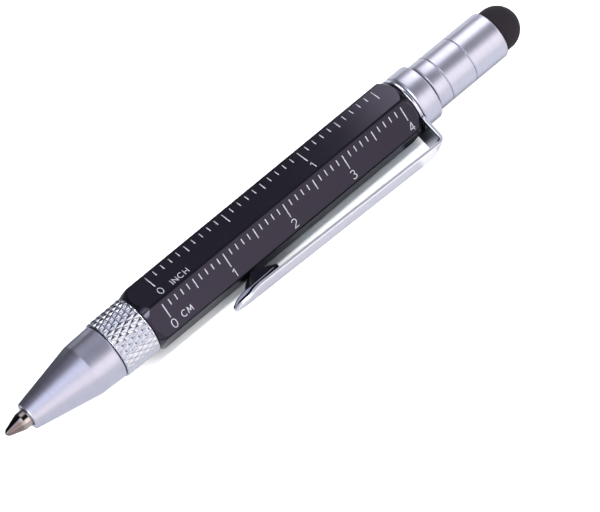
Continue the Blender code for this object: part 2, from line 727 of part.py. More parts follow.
def make_clip():
    """Sheet clip: a ring plate round the tail bush, a bend and a round-ended arm over one facet."""
    root = CLIP_ROOT_REACH
    bend = arc(root - CLIP_BEND_RADIUS, PLATE_REAR - CLIP_BEND_RADIUS, CLIP_BEND_RADIUS, 90, 0, ARC_STEPS)
    inner_reach = arm_reach(PLATE_FRONT) - CLIP_THICKNESS
    side = [
        (BARREL_BORE_RADIUS + FIT_CLEARANCE, PLATE_REAR),
        *bend,
        (CLIP_END_REACH, ARM_END),
        (CLIP_END_REACH - CLIP_THICKNESS, ARM_END),
        (inner_reach, PLATE_FRONT),
        (BARREL_BORE_RADIUS + FIT_CLEARANCE, PLATE_FRONT)]
    clip = add_clip_piece("pocket_clip", outline_mesh("pocket_clip", side, CLIP_WIDTH / 2))
    boolean(clip, round_ended_plan("clip_plan", CLIP_WIDTH / 2), 'INTERSECT')
    ring = tube(CLIP_PLATE_RADIUS, BARREL_BORE_RADIUS, PLATE_FRONT, PLATE_REAR)
    boolean(clip, turned_cutter("clip_plate", ring, SHELL_STEPS, closed=True), 'UNION')


def make_clip_pad():
    """Pad under the arm's end: a thin round-ended lip, then a steep rise to the facet and a long fall."""
    front = ARM_END + (CLIP_WIDTH - PAD_WIDTH) / 2
    rear = front + PAD_LENGTH
    points = []
    for along_share, depth_share in PAD_OUTLINE_SHARES:
        station = front + PAD_LENGTH * along_share
        seat = arm_reach(station) - CLIP_THICKNESS - SEAT_CLEARANCE
        contact = HALF_FLATS + SEAT_CLEARANCE
        points.append((seat + (contact - seat) * depth_share, station))
    seat_rear = arm_reach(rear) - CLIP_THICKNESS - SEAT_CLEARANCE
    points.append((seat_rear - PAD_WALL, rear))
    points.append((seat_rear, rear))
    pad = add_clip_piece("clip_pad", outline_mesh("clip_pad", points, PAD_WIDTH / 2))
    boolean(pad, round_ended_plan("pad_plan", PAD_WIDTH / 2), 'INTERSECT')


def make_collar():
    """Turned collar behind the clip's plate."""
    turned("rear_collar", [
        (COLLAR_RADIUS - COLLAR_BEVEL, COLLAR_REAR),
        (COLLAR_RADIUS, COLLAR_REAR - COLLAR_BEVEL),
        *arc(COLLAR_RADIUS - COLLAR_BEVEL, COLLAR_FRONT + COLLAR_BEVEL, COLLAR_BEVEL, 0, -90, EDGE_STEPS),
        (BARREL_BORE_RADIUS, COLLAR_FRONT),
        (BARREL_BORE_RADIUS, COLLAR_REAR)], "satin_aluminium", SHELL_STEPS)


def make_cap():
    """Stylus cap: grooved sleeve that covers the bit and screws onto the tail bush."""
    outer = [(CAP_RADIUS - CAP_BEVEL, CAP_REAR), (CAP_RADIUS, CAP_REAR - CAP_BEVEL)]
    for station in reversed(CAP_GROOVE_STATIONS):
        middle = CAP_FRONT + station
        outer.append((CAP_RADIUS, middle + CAP_GROOVE_WIDTH / 2))
        outer.append((CAP_RADIUS - CAP_GROOVE_DEPTH, middle))
        outer.append((CAP_RADIUS, middle - CAP_GROOVE_WIDTH / 2))
    outer += [(CAP_RADIUS, CAP_FRONT + CAP_BEVEL), (CAP_RADIUS - CAP_BEVEL, CAP_FRONT)]
    plug_bore = PLUG_RADIUS + FIT_CLEARANCE
    spigot_seat = TAIL_REAR + SEAT_CLEARANCE
    bore = [
        (CAP_SPIGOT_BORE, CAP_FRONT),
        (CAP_SPIGOT_BORE, spigot_seat),
        (CAP_BIT_BORE, spigot_seat),
        (CAP_BIT_BORE, PLUG_FRONT - SEAT_CLEARANCE),
        (plug_bore, PLUG_FRONT - SEAT_CLEARANCE),
        (plug_bore, CAP_REAR)]
    turned("stylus_cap", outer + bore, "satin_aluminium", SHELL_STEPS)


def make_plug():
    """Plug pressed into the cap's end, with a mushroom head that holds the rubber dome."""
    turned("stylus_plug", [
        (0, HEAD_REAR),
        (PLUG_HEAD_RADIUS, HEAD_REAR),
        (PLUG_HEAD_RADIUS, HEAD_FRONT),
        (PLUG_NECK_RADIUS, HEAD_FRONT),
        (PLUG_NECK_RADIUS, CAP_REAR),
        (PLUG_RADIUS, CAP_REAR),
        (PLUG_RADIUS, PLUG_FRONT),
        (0, PLUG_FRONT)], "satin_aluminium", closed=False)


def make_dome():
    """Soft stylus dome, hollow where it is drawn over the plug's head."""
    centre = DOME_FRONT + DOME_STRAIGHT
    neck_bore = PLUG_NECK_RADIUS + FIT_CLEARANCE
    head_bore = PLUG_HEAD_RADIUS + FIT_CLEARANCE
    cavity_rear = HEAD_REAR + SEAT_CLEARANCE
    turned("stylus_dome", [
        *arc(0, centre, DOME_RADIUS, 90, 0, DOME_STEPS),
        (DOME_RADIUS, DOME_FRONT),
        (neck_bore, DOME_FRONT),
        (neck_bore, HEAD_FRONT - SEAT_CLEARANCE),
        (head_bore, HEAD_FRONT - SEAT_CLEARANCE),
        (head_bore, cavity_rear),
        (0, cavity_rear)], "black_rubber", SHELL_STEPS, closed=False)


def lying_roll():
    """Angle below the horizontal at which the clip points when the pen lies on a table.

    The barrel's rounded lowest edge and the clip's lower edge then touch the table together.
    """
    edge_centre = (HALF_FLATS - BARREL_EDGE_RADIUS) / HEX_CORNER_SHARE
    rise = edge_centre - CLIP_WIDTH / 2
    length = math.hypot(rise, CLIP_ROOT_REACH)
    return math.atan2(rise, CLIP_ROOT_REACH) + math.asin(BARREL_EDGE_RADIUS / length)


def lay_on_table():
    """Move the lying pen so that its bounding box stands centred on the origin, on z = 0."""
    bpy.context.view_layer.update()
    depsgraph = bpy.context.evaluated_depsgraph_get()
    corners = []
    for piece in parts.objects:
        if piece.type != 'MESH':
            continue
        mesh = piece.evaluated_get(depsgraph).to_mesh()
        corners += [piece.matrix_world @ vertex.co for vertex in mesh.vertices]
    low = [min(corner[axis] for corner in corners) for axis in range(3)]
    high = [max(corner[axis] for corner in corners) for axis in range(3)]
    lying_pose.location.x -= (low[0] + high[0]) / 2
    lying_pose.location.y -= (low[1] + high[1]) / 2
    lying_pose.location.z -= low[2]


clear_scene()
parts = new_collection("multi_tool_pen")
cutters = new_collection("cutters")

# The pen's frame: lying_pose rolls it on the table, pen_axis turns its axis to world X
lying_pose = new_empty("lying_pose", None)
lying_pose.rotation_euler = (lying_roll() - math.pi / 2, 0, 0)
pen_axis = new_empty("pen_axis", lying_pose)
pen_axis.rotation_euler = (0, math.pi / 2, 0)
clip_hinge = new_empty("clip_hinge", pen_axis)
clip_hinge.location = (CLIP_ROOT_REACH - CLIP_BEND_RADIUS, 0, PLATE_REAR - CLIP_BEND_RADIUS)
bpy.context.view_layer.update()

make_barrel()
make_nose()
make_grip()
make_front_bush()
make_snap_ring()
make_o_ring("grip_o_ring", BUSH_BORE, GRIP_RING_SECTION, GRIP_RING_STATION)
make_refill_point()
make_writing_ball()
make_refill_tube()
make_carrier()
make_drive_pin()
make_cam_tube()
make_guide_sleeve()
make_tail_bush()
make_o_ring("cap_o_ring", CAP_SPIGOT_BORE, CAP_RING_SECTION, TAIL_REAR - CAP_RING_INSET)
make_bit()
make_clip()
make_clip_pad()
make_collar()
make_cap()
make_plug()
make_dome()
lay_on_table()
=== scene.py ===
"""Looks of a short twist pen that lies on a white table.

The pen has a hexagonal barrel with two printed scales, a knurled grip, a pocket clip and a stylus cap.
Lengths are in metres. A station is a distance along the pen's axis from the barrel's front face,
towards the cap. An angle round the axis runs from +Y towards +Z.
"""

import bmesh
import bpy
import numpy as np
from mathutils import Matrix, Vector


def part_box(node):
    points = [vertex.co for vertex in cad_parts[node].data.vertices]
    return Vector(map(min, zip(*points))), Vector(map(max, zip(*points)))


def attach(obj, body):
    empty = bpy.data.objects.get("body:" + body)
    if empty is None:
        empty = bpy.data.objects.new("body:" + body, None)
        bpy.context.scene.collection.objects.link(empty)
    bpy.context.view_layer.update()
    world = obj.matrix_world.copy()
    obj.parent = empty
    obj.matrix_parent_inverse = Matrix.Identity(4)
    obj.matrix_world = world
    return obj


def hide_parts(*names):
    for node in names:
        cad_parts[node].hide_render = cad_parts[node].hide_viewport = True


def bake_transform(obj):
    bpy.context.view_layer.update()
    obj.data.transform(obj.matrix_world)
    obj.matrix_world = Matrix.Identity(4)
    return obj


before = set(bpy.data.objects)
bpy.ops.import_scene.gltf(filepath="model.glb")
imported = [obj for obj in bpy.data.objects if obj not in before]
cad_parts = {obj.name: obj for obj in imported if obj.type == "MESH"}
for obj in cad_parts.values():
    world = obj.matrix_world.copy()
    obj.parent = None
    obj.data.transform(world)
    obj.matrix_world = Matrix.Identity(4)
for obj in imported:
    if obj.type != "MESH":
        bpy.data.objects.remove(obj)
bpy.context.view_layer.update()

# Camera
# A long lens looks down on the lying pen from the clip's side, a little ahead of its tip.
# Its place and turn come from a camera fitted to the printed scales.
CAMERA_PLACE = (-0.12195984, -0.15730405, 0.36160007)
CAMERA_RIGHT = (0.73300422, -0.67902488, -0.04037350)
CAMERA_UP = (0.61139994, 0.63166292, 0.47664670)
CAMERA_BACK = (-0.29815252, -0.37406840, 0.87816736)
LENS = 197.13

camera_lens = bpy.data.cameras.new("camera")
camera_lens.lens = LENS
camera_lens.sensor_width = 36
camera_lens.clip_start = 0.01
camera = bpy.data.objects.new("camera", camera_lens)
camera.matrix_world = Matrix((*zip(CAMERA_RIGHT, CAMERA_UP, CAMERA_BACK, CAMERA_PLACE), (0, 0, 0, 1)))
bpy.context.scene.collection.objects.link(camera)
bpy.context.scene.camera = camera
bpy.context.scene.view_settings.view_transform = 'Standard'


# Studio light
# Long soft boxes stand on the clip's side, overhead and on the far side, with two strips level with the
# nose, one box above the cap's end, a small bright one beyond the tip and a near one behind the cap.
def add_node(tree, kind, **settings):
    """A node of a kind, with its settings."""
    node = tree.nodes.new(kind)
    for name, value in settings.items():
        setattr(node, name, value)
    return node


def feed(tree, socket, value):
    """Put a number, a colour or another node's output into a socket."""
    if isinstance(value, bpy.types.NodeSocket):
        tree.links.new(value, socket)
    else:
        socket.default_value = value


def maths(tree, operation, *values):
    """Result of one step of arithmetic on numbers or outputs."""
    node = add_node(tree, "ShaderNodeMath", operation=operation)
    for socket, value in zip(node.inputs, values):
        feed(tree, socket, value)
    return node.outputs[0]


def product(tree, first, *others):
    """Product of numbers or outputs."""
    for value in others:
        first = maths(tree, 'MULTIPLY', first, value)
    return first


def fade(tree, value, start, stop):
    """Smooth step of a value, 0 at start and 1 at stop."""
    node = add_node(tree, "ShaderNodeMapRange", interpolation_type='SMOOTHSTEP')
    feed(tree, node.inputs["Value"], value)
    node.inputs["From Min"].default_value = start
    node.inputs["From Max"].default_value = stop
    return node.outputs["Result"]


def tinted(tree, base, share, colour, blend='MIX'):
    """A base colour led towards another, or with the other added, by a share from 0 to 1."""
    node = add_node(tree, "ShaderNodeMix", data_type='RGBA', blend_type=blend)
    feed(tree, node.inputs["Factor"], share)
    feed(tree, node.inputs[6], base)
    node.inputs[7].default_value = (*colour, 1)
    return node.outputs[2]


ROOM = (0.016, 0.016, 0.024)
CLIP_SIDE_BOX = (1.82, 1.76, 1.75)
OVERHEAD_BOX = (1.42, 1.50, 1.80)
FAR_SIDE_BOX = (0.60, 0.62, 0.72)
CAP_END_BOX = (0.9, 0.92, 1.0)
NEAR_STRIP = (0.42, 0.42, 0.40)
FAR_STRIP = (0.42, 0.43, 0.47)
TIP_BOX = (11.0, 12.6, 12.2)
TIP_BOX_WAY = (-0.732, -0.11, 0.672)

world = bpy.data.worlds.new("studio")
bpy.context.scene.world = world
world.use_nodes = True
sky = world.node_tree
direction = add_node(sky, "ShaderNodeTexCoord").outputs["Generated"]
axes = add_node(sky, "ShaderNodeSeparateXYZ")
feed(sky, axes.inputs[0], direction)
along = axes.outputs["X"]
climb = maths(sky, 'ARCTAN2', axes.outputs["Z"], axes.outputs["Y"])


def band(middle, full, none):
    """Share of a box that runs along the pen: 1 near an angle round it, in degrees, and 0 far from it."""
    away = maths(sky, 'ABSOLUTE', maths(sky, 'SUBTRACT', climb, np.radians(middle)))
    return fade(sky, away, np.radians(none), np.radians(full))


def reach(start, stop, least=0):
    """Share of a box by a ray's slant along the pen: a smooth step from the least share to 1."""
    return maths(sky, 'MULTIPLY_ADD', fade(sky, along, start, stop), 1 - least, least)


toward_tip = add_node(sky, "ShaderNodeVectorMath", operation='DOT_PRODUCT')
feed(sky, toward_tip.inputs[0], direction)
toward_tip.inputs[1].default_value = TIP_BOX_WAY
rear_dim = maths(sky, 'MULTIPLY_ADD', product(sky, band(156.6, 5, 13), reach(0.27, 0.325)), -0.3, 1)
strip_reach = product(sky, reach(0.07, 0.13), reach(0.23, 0.18))
glow = (*ROOM, 1)
for colour, *shares in (
        (CLIP_SIDE_BOX, band(150, 18, 36), reach(0.08, 0.2, 0.8), rear_dim),
        (OVERHEAD_BOX, band(94, 16, 32), reach(0.05, -0.14)),
        (FAR_SIDE_BOX, band(50, 12, 34), reach(-0.04, 0.12), reach(0.37, 0.31), reach(0.26, 0.17, 0.38)),
        (CAP_END_BOX, band(98, 18, 36), reach(0.45, 0.6)),
        (NEAR_STRIP, band(148, 10, 28), strip_reach),
        (FAR_STRIP, band(42, 12, 32), strip_reach),
        (TIP_BOX, fade(sky, toward_tip.outputs["Value"], 0.968, 0.990))):
    glow = tinted(sky, glow, product(sky, *shares), colour, 'ADD')
feed(sky, sky.nodes["Background"].inputs["Color"], glow)

REAR_BOX_PLACE = (0.168, 0.134, 0.142)
REAR_BOX_RIGHT = (1, 0, 0)
REAR_BOX_UP = (0, 0.714, -0.70)
REAR_BOX_BACK = (0, 0.70, 0.714)
REAR_BOX_SIZE = (0.160, 0.150)
REAR_BOX_POWER = 0.245
REAR_BOX_TINT = (0.97, 0.98, 1.0)
rear_light = bpy.data.lights.new("rear_box", 'AREA')
rear_light.shape = 'RECTANGLE'
rear_light.size, rear_light.size_y = REAR_BOX_SIZE
rear_light.energy = REAR_BOX_POWER
rear_light.color = REAR_BOX_TINT
rear_box = bpy.data.objects.new("rear_box", rear_light)
rear_box.matrix_world = Matrix((
    *zip(REAR_BOX_RIGHT, REAR_BOX_UP, REAR_BOX_BACK, REAR_BOX_PLACE), (0, 0, 0, 1)))
rear_box.visible_camera = False
bpy.context.scene.collection.objects.link(rear_box)


# Floor
# A sheet of white card under the pen, wide enough to fill every view. The camera sees it glow evenly,
# save for a painted shadow strip under and beside the pen. The metal mirrors it duller than it is seen,
# with painted shade in that reflection under the barrel, beyond the nose and beside the clip's neck, and
# a painted glow in it a little further out beside the neck.
FLOOR_HALF = 1.5
FLOOR_DEPTH = 0.00001
CARD_TONE = (0.93, 0.93, 0.93)
CARD_GLOW_TINT = (1, 1, 0.98)
CARD_GLOW = 0.66
PAINTED_NECK_GLOW = 0.45
MIRRORED_CARD = (0.84, 0.84, 0.84)
MIRRORED_PAINTED_SHADE_BEYOND_NOSE = (0.07, 0.07, 0.08)
MIRRORED_PAINTED_SHADE_UNDER_BARREL = (0.42, 0.42, 0.44)
MIRRORED_PAINTED_SHADE_BESIDE_NECK = (0.05, 0.05, 0.06)


def new_material(name, colour, metallic, roughness):
    """A named material with a plain shader, its node tree and that shader."""
    material = bpy.data.materials.new(name)
    material.use_nodes = True
    shader = material.node_tree.nodes["Principled BSDF"]
    shader.inputs["Base Color"].default_value = (*colour, 1)
    shader.inputs["Metallic"].default_value = metallic
    shader.inputs["Roughness"].default_value = roughness
    return material, material.node_tree, shader


def object_axes(tree):
    """Outputs X, Y and Z of the shaded point, in the piece's own frame."""
    parted = add_node(tree, "ShaderNodeSeparateXYZ")
    feed(tree, parted.inputs[0], add_node(tree, "ShaderNodeTexCoord").outputs["Object"])
    return parted.outputs


white_card, card, card_shader = new_material("white_card", CARD_TONE, 0, 0.9)
card_shader.inputs["Specular IOR Level"].default_value = 0.1
card_shader.inputs["Emission Color"].default_value = (*CARD_GLOW_TINT, 1)
rays = add_node(card, "ShaderNodeLightPath").outputs
mirrored = rays["Is Glossy Ray"]
card_axes = object_axes(card)


def patch(x_steps, y_steps):
    """Share of a patch of card, bounded by smooth steps that each run from where it is 0 to where it is 1."""
    steps = [fade(card, card_axes["X"], *step) for step in x_steps]
    steps += [fade(card, card_axes["Y"], *step) for step in y_steps]
    return product(card, *steps)


neck_steps = [(0.0205, 0.0213), (0.0240, 0.0232)]
# Painted shadow: the glow that the camera sees fades out over a strip under and beside the pen.
painted_shadow_patch = patch([(-0.027, -0.020), (0.0245, 0.0225)], [(-0.0024, -0.00195), (0.006, 0.003)])
seen_glow = product(card, rays["Is Camera Ray"], maths(card, 'SUBTRACT', 1, painted_shadow_patch), CARD_GLOW)
# Painted glow: only mirrored rays see the card glow on a patch beside the clip's neck, so the neck reflects
# light there.
painted_neck_glow = product(card, mirrored, patch(neck_steps, [(-0.0022, -0.0034)]), PAINTED_NECK_GLOW)
feed(card, card_shader.inputs["Emission Strength"], maths(card, 'ADD', seen_glow, painted_neck_glow))
tone = (*CARD_TONE, 1)
# Mirrored rays see the card duller everywhere. The darker patches beyond the nose, under the barrel and
# beside the clip's neck are painted shade in the metal's reflections.
for colour, *patches in (
        (MIRRORED_CARD,),
        (MIRRORED_PAINTED_SHADE_BEYOND_NOSE, patch([(-0.014, -0.030)], [(0.003, 0.012)])),
        (MIRRORED_PAINTED_SHADE_UNDER_BARREL, patch([(-0.022, -0.018)], [(-0.0037, -0.0031), (0.006, 0.003)])),
        (MIRRORED_PAINTED_SHADE_BESIDE_NECK, patch(neck_steps, [(-0.0031, -0.0020)]))):
    tone = tinted(card, tone, product(card, mirrored, *patches), colour)
feed(card, card_shader.inputs["Base Color"], tone)
floor_mesh = bpy.data.meshes.new("floor")
floor_mesh.from_pydata([
    (-FLOOR_HALF, -FLOOR_HALF, -FLOOR_DEPTH), (FLOOR_HALF, -FLOOR_HALF, -FLOOR_DEPTH),
    (FLOOR_HALF, FLOOR_HALF, -FLOOR_DEPTH), (-FLOOR_HALF, FLOOR_HALF, -FLOOR_DEPTH)], [], [(0, 1, 2, 3)])
floor_mesh.materials.append(white_card)
floor = bpy.data.objects.new("floor", floor_mesh)
bpy.context.scene.collection.objects.link(floor)


# Barrel
# A hexagonal metal tube with softly rounded long edges. Its ends are turned to a cone, which leaves
# a curved chamfer on every facet. Its satin black lacquer is duller on the rounded long edges and mirrors
# less there, so they read as dark lines: painted shade.
BARREL_LENGTH = 0.0444
HALF_FLATS = 0.00405
EDGE_RADIUS = 0.00035
BARREL_BORE = 0.0033
BARREL_END_RADIUS = 0.0039
CHAMFER_SLOPE = 1.545
CLIP_ANGLE = np.radians(194.865)
FACET_TURN = np.pi / 3
front_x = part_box("hex_barrel")[0].x
axis_low, axis_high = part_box("rear_collar")
axis_y = (axis_low.y + axis_high.y) / 2
axis_z = (axis_low.z + axis_high.z) / 2


def around(angle, radius, station):
    """Points at an angle and a radius round the pen's axis, at a station along it."""
    across = axis_y + radius * np.cos(angle)
    up = axis_z + radius * np.sin(angle)
    return np.stack(np.broadcast_arrays(front_x + station, across, up), axis=-1)


def eased(corners, ease, steps=4, closed=True):
    """Corner points with every corner eased.

    Near a corner the line follows the quadratic curve between the points that lie ease before and
    after it, never further off than 0.45 of the side. An open line keeps its two end points.
    """
    corners = np.asarray(corners, float)
    pull = np.asarray(ease, float).reshape((-1,) + (1,) * (corners.ndim - 1))
    ends = []
    for step in (1, -1):
        side = np.roll(corners, step, axis=0) - corners
        length = np.linalg.norm(side, axis=-1, keepdims=True)
        ends.append(corners + side * np.minimum(pull / length, 0.45))
    t = np.linspace(0, 1, steps + 1).reshape((1, -1) + (1,) * (corners.ndim - 1))
    curve = (1 - t) ** 2 * ends[0][:, None] + 2 * t * (1 - t) * corners[:, None] + t ** 2 * ends[1][:, None]
    if not closed:
        inner = curve[1:-1].reshape((-1,) + corners.shape[1:])
        return np.concatenate([corners[:1], inner, corners[-1:]])
    return curve.reshape((-1,) + corners.shape[1:])


def grid_faces(rows, columns, close_rows=True):
    """Four-sided faces of a grid of points whose columns, and rows if asked, close on themselves."""
    row = np.arange(rows if close_rows else rows - 1)[:, None]
    column = np.arange(columns)[None]
    after, beside = (row + 1) % rows, (column + 1) % columns
    row, after = row * columns, after * columns
    corners = [row + column, row + beside, after + beside, after + column]
    return np.stack(np.broadcast_arrays(*corners), axis=-1).reshape(-1, 4)


def skin(points, close_rows=True, caps=False):
    """Points and faces of a grid, with its first and last row closed by a cap if asked."""
    rows, columns = points.shape[:2]
    faces = list(grid_faces(rows, columns, close_rows))
    if caps:
        faces += [np.arange(columns), np.arange((rows - 1) * columns, rows * columns)]
    return points.reshape(-1, 3), faces


def new_piece(name, skins, *materials):
    """One object of closed skins, with doubled points merged and every face turned outwards.

    A skin may end in one material number a face. Shading is smooth and follows the larger of two
    neighbouring faces, so flats stay flat.
    """
    shape = bmesh.new()
    for points, faces, *numbers in skins:
        part = bpy.data.meshes.new(name)
        part.from_pydata(points, [], faces)
        if numbers:
            part.polygons.foreach_set("material_index", numbers[0])
        shape.from_mesh(part)
        bpy.data.meshes.remove(part)
    bmesh.ops.remove_doubles(shape, verts=shape.verts, dist=1e-7)
    bmesh.ops.recalc_face_normals(shape, faces=shape.faces)
    mesh = bpy.data.meshes.new(name)
    shape.to_mesh(mesh)
    shape.free()
    mesh.shade_smooth()
    for material in materials:
        mesh.materials.append(material)
    piece = bpy.data.objects.new(name, mesh)
    bpy.context.scene.collection.objects.link(piece)
    piece.modifiers.new("face_weights", 'WEIGHTED_NORMAL')
    return piece


def new_group(name, inputs, outputs):
    """A node group with number inputs and outputs: the group, what comes into it and what it gives."""
    group = bpy.data.node_groups.new(name, "ShaderNodeTree")
    for title, value in inputs:
        group.interface.new_socket(title, in_out='INPUT', socket_type='NodeSocketFloat').default_value = value
    for title in outputs:
        group.interface.new_socket(title, in_out='OUTPUT', socket_type='NodeSocketFloat')
    return group, add_node(group, "NodeGroupInput").outputs, add_node(group, "NodeGroupOutput").inputs


def noise(tree, vector, scale, detail):
    """Even noise, 0 to 1, of a vector."""
    node = add_node(tree, "ShaderNodeTexNoise")
    feed(tree, node.inputs["Vector"], vector)
    feed(tree, node.inputs["Scale"], scale)
    node.inputs["Detail"].default_value = detail
    return node.outputs["Fac"]


# Stretched grain: noise drawn out along or round the pen by its two scales
GRAIN_DETAIL = 3
BLOTCH_SCALE = 420
BLOTCH_DETAIL = 4
grain, grain_in, grain_out = new_group(
    "stretched_grain", [("Along", 1000), ("Across", 1000)], ["Height", "Blotch"])
grain_axes = object_axes(grain)
stretched = add_node(grain, "ShaderNodeCombineXYZ")
for axis, way in (("X", "Along"), ("Y", "Across"), ("Z", "Across")):
    feed(grain, stretched.inputs[axis], maths(grain, 'MULTIPLY', grain_axes[axis], grain_in[way]))
spot = add_node(grain, "ShaderNodeTexCoord").outputs["Object"]
feed(grain, grain_out["Height"], noise(grain, stretched.outputs[0], 1, GRAIN_DETAIL))
feed(grain, grain_out["Blotch"], noise(grain, spot, BLOTCH_SCALE, BLOTCH_DETAIL))


def tool_marks(tree, along, across):
    """Outputs of the stretched grain, placed in a material with its own two scales."""
    marks = add_node(tree, "ShaderNodeGroup", node_tree=grain)
    marks.inputs["Along"].default_value = along
    marks.inputs["Across"].default_value = across
    return marks.outputs


def retint(tree, shader, share, colour):
    """Lead a shader's base colour towards another by a share."""
    socket = shader.inputs["Base Color"]
    base = socket.links[0].from_socket if socket.links else socket.default_value
    feed(tree, socket, tinted(tree, base, share, colour))


def texture(tree, shader, along, across, depth, blotch, tone=None, tone_share=0.0):
    """Give a shader its grain: bump of a depth in metres, and roughness and tone that vary with it."""
    roughness = shader.inputs["Roughness"]
    marks = tool_marks(tree, along, across)
    bump = add_node(tree, "ShaderNodeBump")
    bump.inputs["Strength"].default_value = 1
    bump.inputs["Distance"].default_value = depth
    feed(tree, bump.inputs["Height"], marks["Height"])
    feed(tree, shader.inputs["Normal"], bump.outputs["Normal"])
    start = roughness.default_value - blotch / 2
    feed(tree, roughness, maths(tree, 'MULTIPLY_ADD', marks["Blotch"], blotch, start))
    if tone:
        retint(tree, shader, maths(tree, 'MULTIPLY', marks["Height"], tone_share), tone)


def streaks(tree, shader, along, across, tone, tone_share):
    """Coarser tool marks over a texture: its tone leans to a second one in streaks."""
    height = tool_marks(tree, along, across)["Height"]
    retint(tree, shader, maths(tree, 'MULTIPLY', fade(tree, height, 0.35, 0.65), tone_share), tone)


black_lacquer, lacquer, lacquer_shader = new_material("black_lacquer_coat", (0.0065, 0.006, 0.0095), 0, 0.16)
lacquer_shader.inputs["Specular Tint"].default_value = (0.74, 0.62, 0.89, 1)
texture(lacquer, lacquer_shader, 5200, 5200, 0.0000012, 0.05, (0.010, 0.009, 0.013), 0.6)
# Painted shade: the rounded long edges get a duller lacquer that mirrors little, so they read as dark lines.
shaded_lacquer_edge, edge_coat, edge_shader = new_material("black_lacquer_edge", (0.006, 0.006, 0.009), 0, 0.3)
edge_shader.inputs["Specular IOR Level"].default_value = 0.1
texture(edge_coat, edge_shader, 5200, 5200, 0.0000012, 0.05, (0.009, 0.008, 0.012), 0.6)

facet = np.linspace(-1, 1, 13) * (HALF_FLATS - EDGE_RADIUS) * np.tan(FACET_TURN / 2)
flat = np.stack([np.full_like(facet, HALF_FLATS), facet], axis=-1)
bend = np.linspace(0, FACET_TURN, 9)[1:-1]
middle = (HALF_FLATS - EDGE_RADIUS) / np.cos(FACET_TURN / 2)
corner_x = middle * np.cos(FACET_TURN / 2) + EDGE_RADIUS * np.cos(bend)
corner_y = middle * np.sin(FACET_TURN / 2) + EDGE_RADIUS * np.sin(bend)
sixth = np.concatenate([flat, np.stack([corner_x, corner_y], axis=-1)])
hex_radius = np.tile(np.hypot(sixth[:, 0], sixth[:, 1]), 6)
hex_turn = np.arange(6)[:, None] * FACET_TURN + np.arctan2(sixth[:, 1], sixth[:, 0])[None]
hex_angle = CLIP_ANGLE + hex_turn.ravel()
chamfer = (hex_radius - BARREL_END_RADIUS) * CHAMFER_SLOPE
ring = np.ones_like(hex_radius)
barrel_corners = np.stack([np.stack(pair, axis=-1) for pair in (
    (BARREL_BORE * ring, BARREL_LENGTH * ring),
    (BARREL_END_RADIUS * ring, BARREL_LENGTH * ring),
    (hex_radius, BARREL_LENGTH - chamfer),
    (hex_radius, chamfer),
    (BARREL_END_RADIUS * ring, 0 * ring),
    (BARREL_BORE * ring, 0 * ring))])
barrel_lines = eased(barrel_corners, 0.00009)
barrel_points, barrel_faces = skin(around(hex_angle, barrel_lines[..., 0], barrel_lines[..., 1]))
on_edge = np.tile(np.arange(len(sixth)) >= len(facet) - 1, 6 * len(barrel_lines)).astype(np.int32)
barrel = new_piece("lacquered_barrel", [(barrel_points, barrel_faces, on_edge)], black_lacquer, shaded_lacquer_edge)
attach(barrel, "barrel")
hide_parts("hex_barrel")


# Printed scales
# White ink printed on the two upper facets: millimetres on one, twentieths of an inch on the other.
# The strokes are thin flat ribbons that stand one ink film above the lacquer.
INK_RISE = 0.000012
INK_SINK = 0.000004
TICK_WIDTH = 0.00013
GLYPH_STROKE = 0.00011
CM_ANGLE = CLIP_ANGLE - FACET_TURN
INCH_ANGLE = CLIP_ANGLE - 2 * FACET_TURN
CM_ZERO = 0.0027
INCH_ZERO = 0.00375
MILLIMETRE = 0.001
TWENTIETH = 0.00127
TICK_TOP_CM = 0.00169
TICK_TOP_INCH = 0.0018
UNIT_HEIGHT = 0.00087
NUMBER_HEIGHT_CM = 0.00118
NUMBER_HEIGHT_INCH = 0.0011

# Each kind of division: one tick in so many, and how far across the facet it ends
DIVISIONS_CM = [(10, -0.00036), (5, 0.000285), (1, 0.000856)]
DIVISIONS_INCH = [(20, -0.0003), (10, 0.000106), (5, 0.00059), (1, 0.00093)]


def bow(centre, radii, start, stop, steps=20):
    """Points of an arc of an ellipse, with its angles in degrees."""
    angle = np.radians(np.linspace(start, stop, steps))
    return np.stack([centre[0] + radii[0] * np.cos(angle), centre[1] + radii[1] * np.sin(angle)], axis=-1)


# Strokes of each sign, in a box one unit high: its width, then its lines
SIGNS = {
    "0": (0.62, [bow((0.31, 0.5), (0.29, 0.48), 0, 360, 33)]),
    "1": (0.34, [[(0.0, 0.74), (0.26, 0.98)], [(0.26, 1.0), (0.26, 0.0)]]),
    "2": (0.60, [[*bow((0.3, 0.7), (0.27, 0.28), 165, -35), (0.04, 0.02)], [(0.0, 0.03), (0.6, 0.03)]]),
    "3": (0.58, [bow((0.28, 0.75), (0.24, 0.23), 155, -85), bow((0.28, 0.27), (0.28, 0.25), 90, -155)]),
    "4": (0.64, [[(0.46, 0.0), (0.46, 1.0)], [(0.46, 0.98), (0.02, 0.26)], [(0.0, 0.26), (0.64, 0.26)]]),
    "C": (0.80, [bow((0.45, 0.5), (0.42, 0.48), 48, 312)]),
    "M": (0.90, [[(0.04, 0.0), (0.12, 1.0)], [(0.12, 0.98), (0.45, 0.2)], [(0.45, 0.2), (0.78, 0.98)],
                 [(0.78, 1.0), (0.86, 0.0)]]),
    "I": (0.10, [[(0.05, 0.0), (0.05, 1.0)]]),
    "N": (0.74, [[(0.05, 0.0), (0.05, 1.0)], [(0.05, 0.98), (0.69, 0.02)], [(0.69, 0.0), (0.69, 1.0)]]),
    "H": (0.74, [[(0.05, 0.0), (0.05, 1.0)], [(0.05, 0.5), (0.69, 0.5)], [(0.69, 0.0), (0.69, 1.0)]]),
}
SIGN_GAP = 0.24


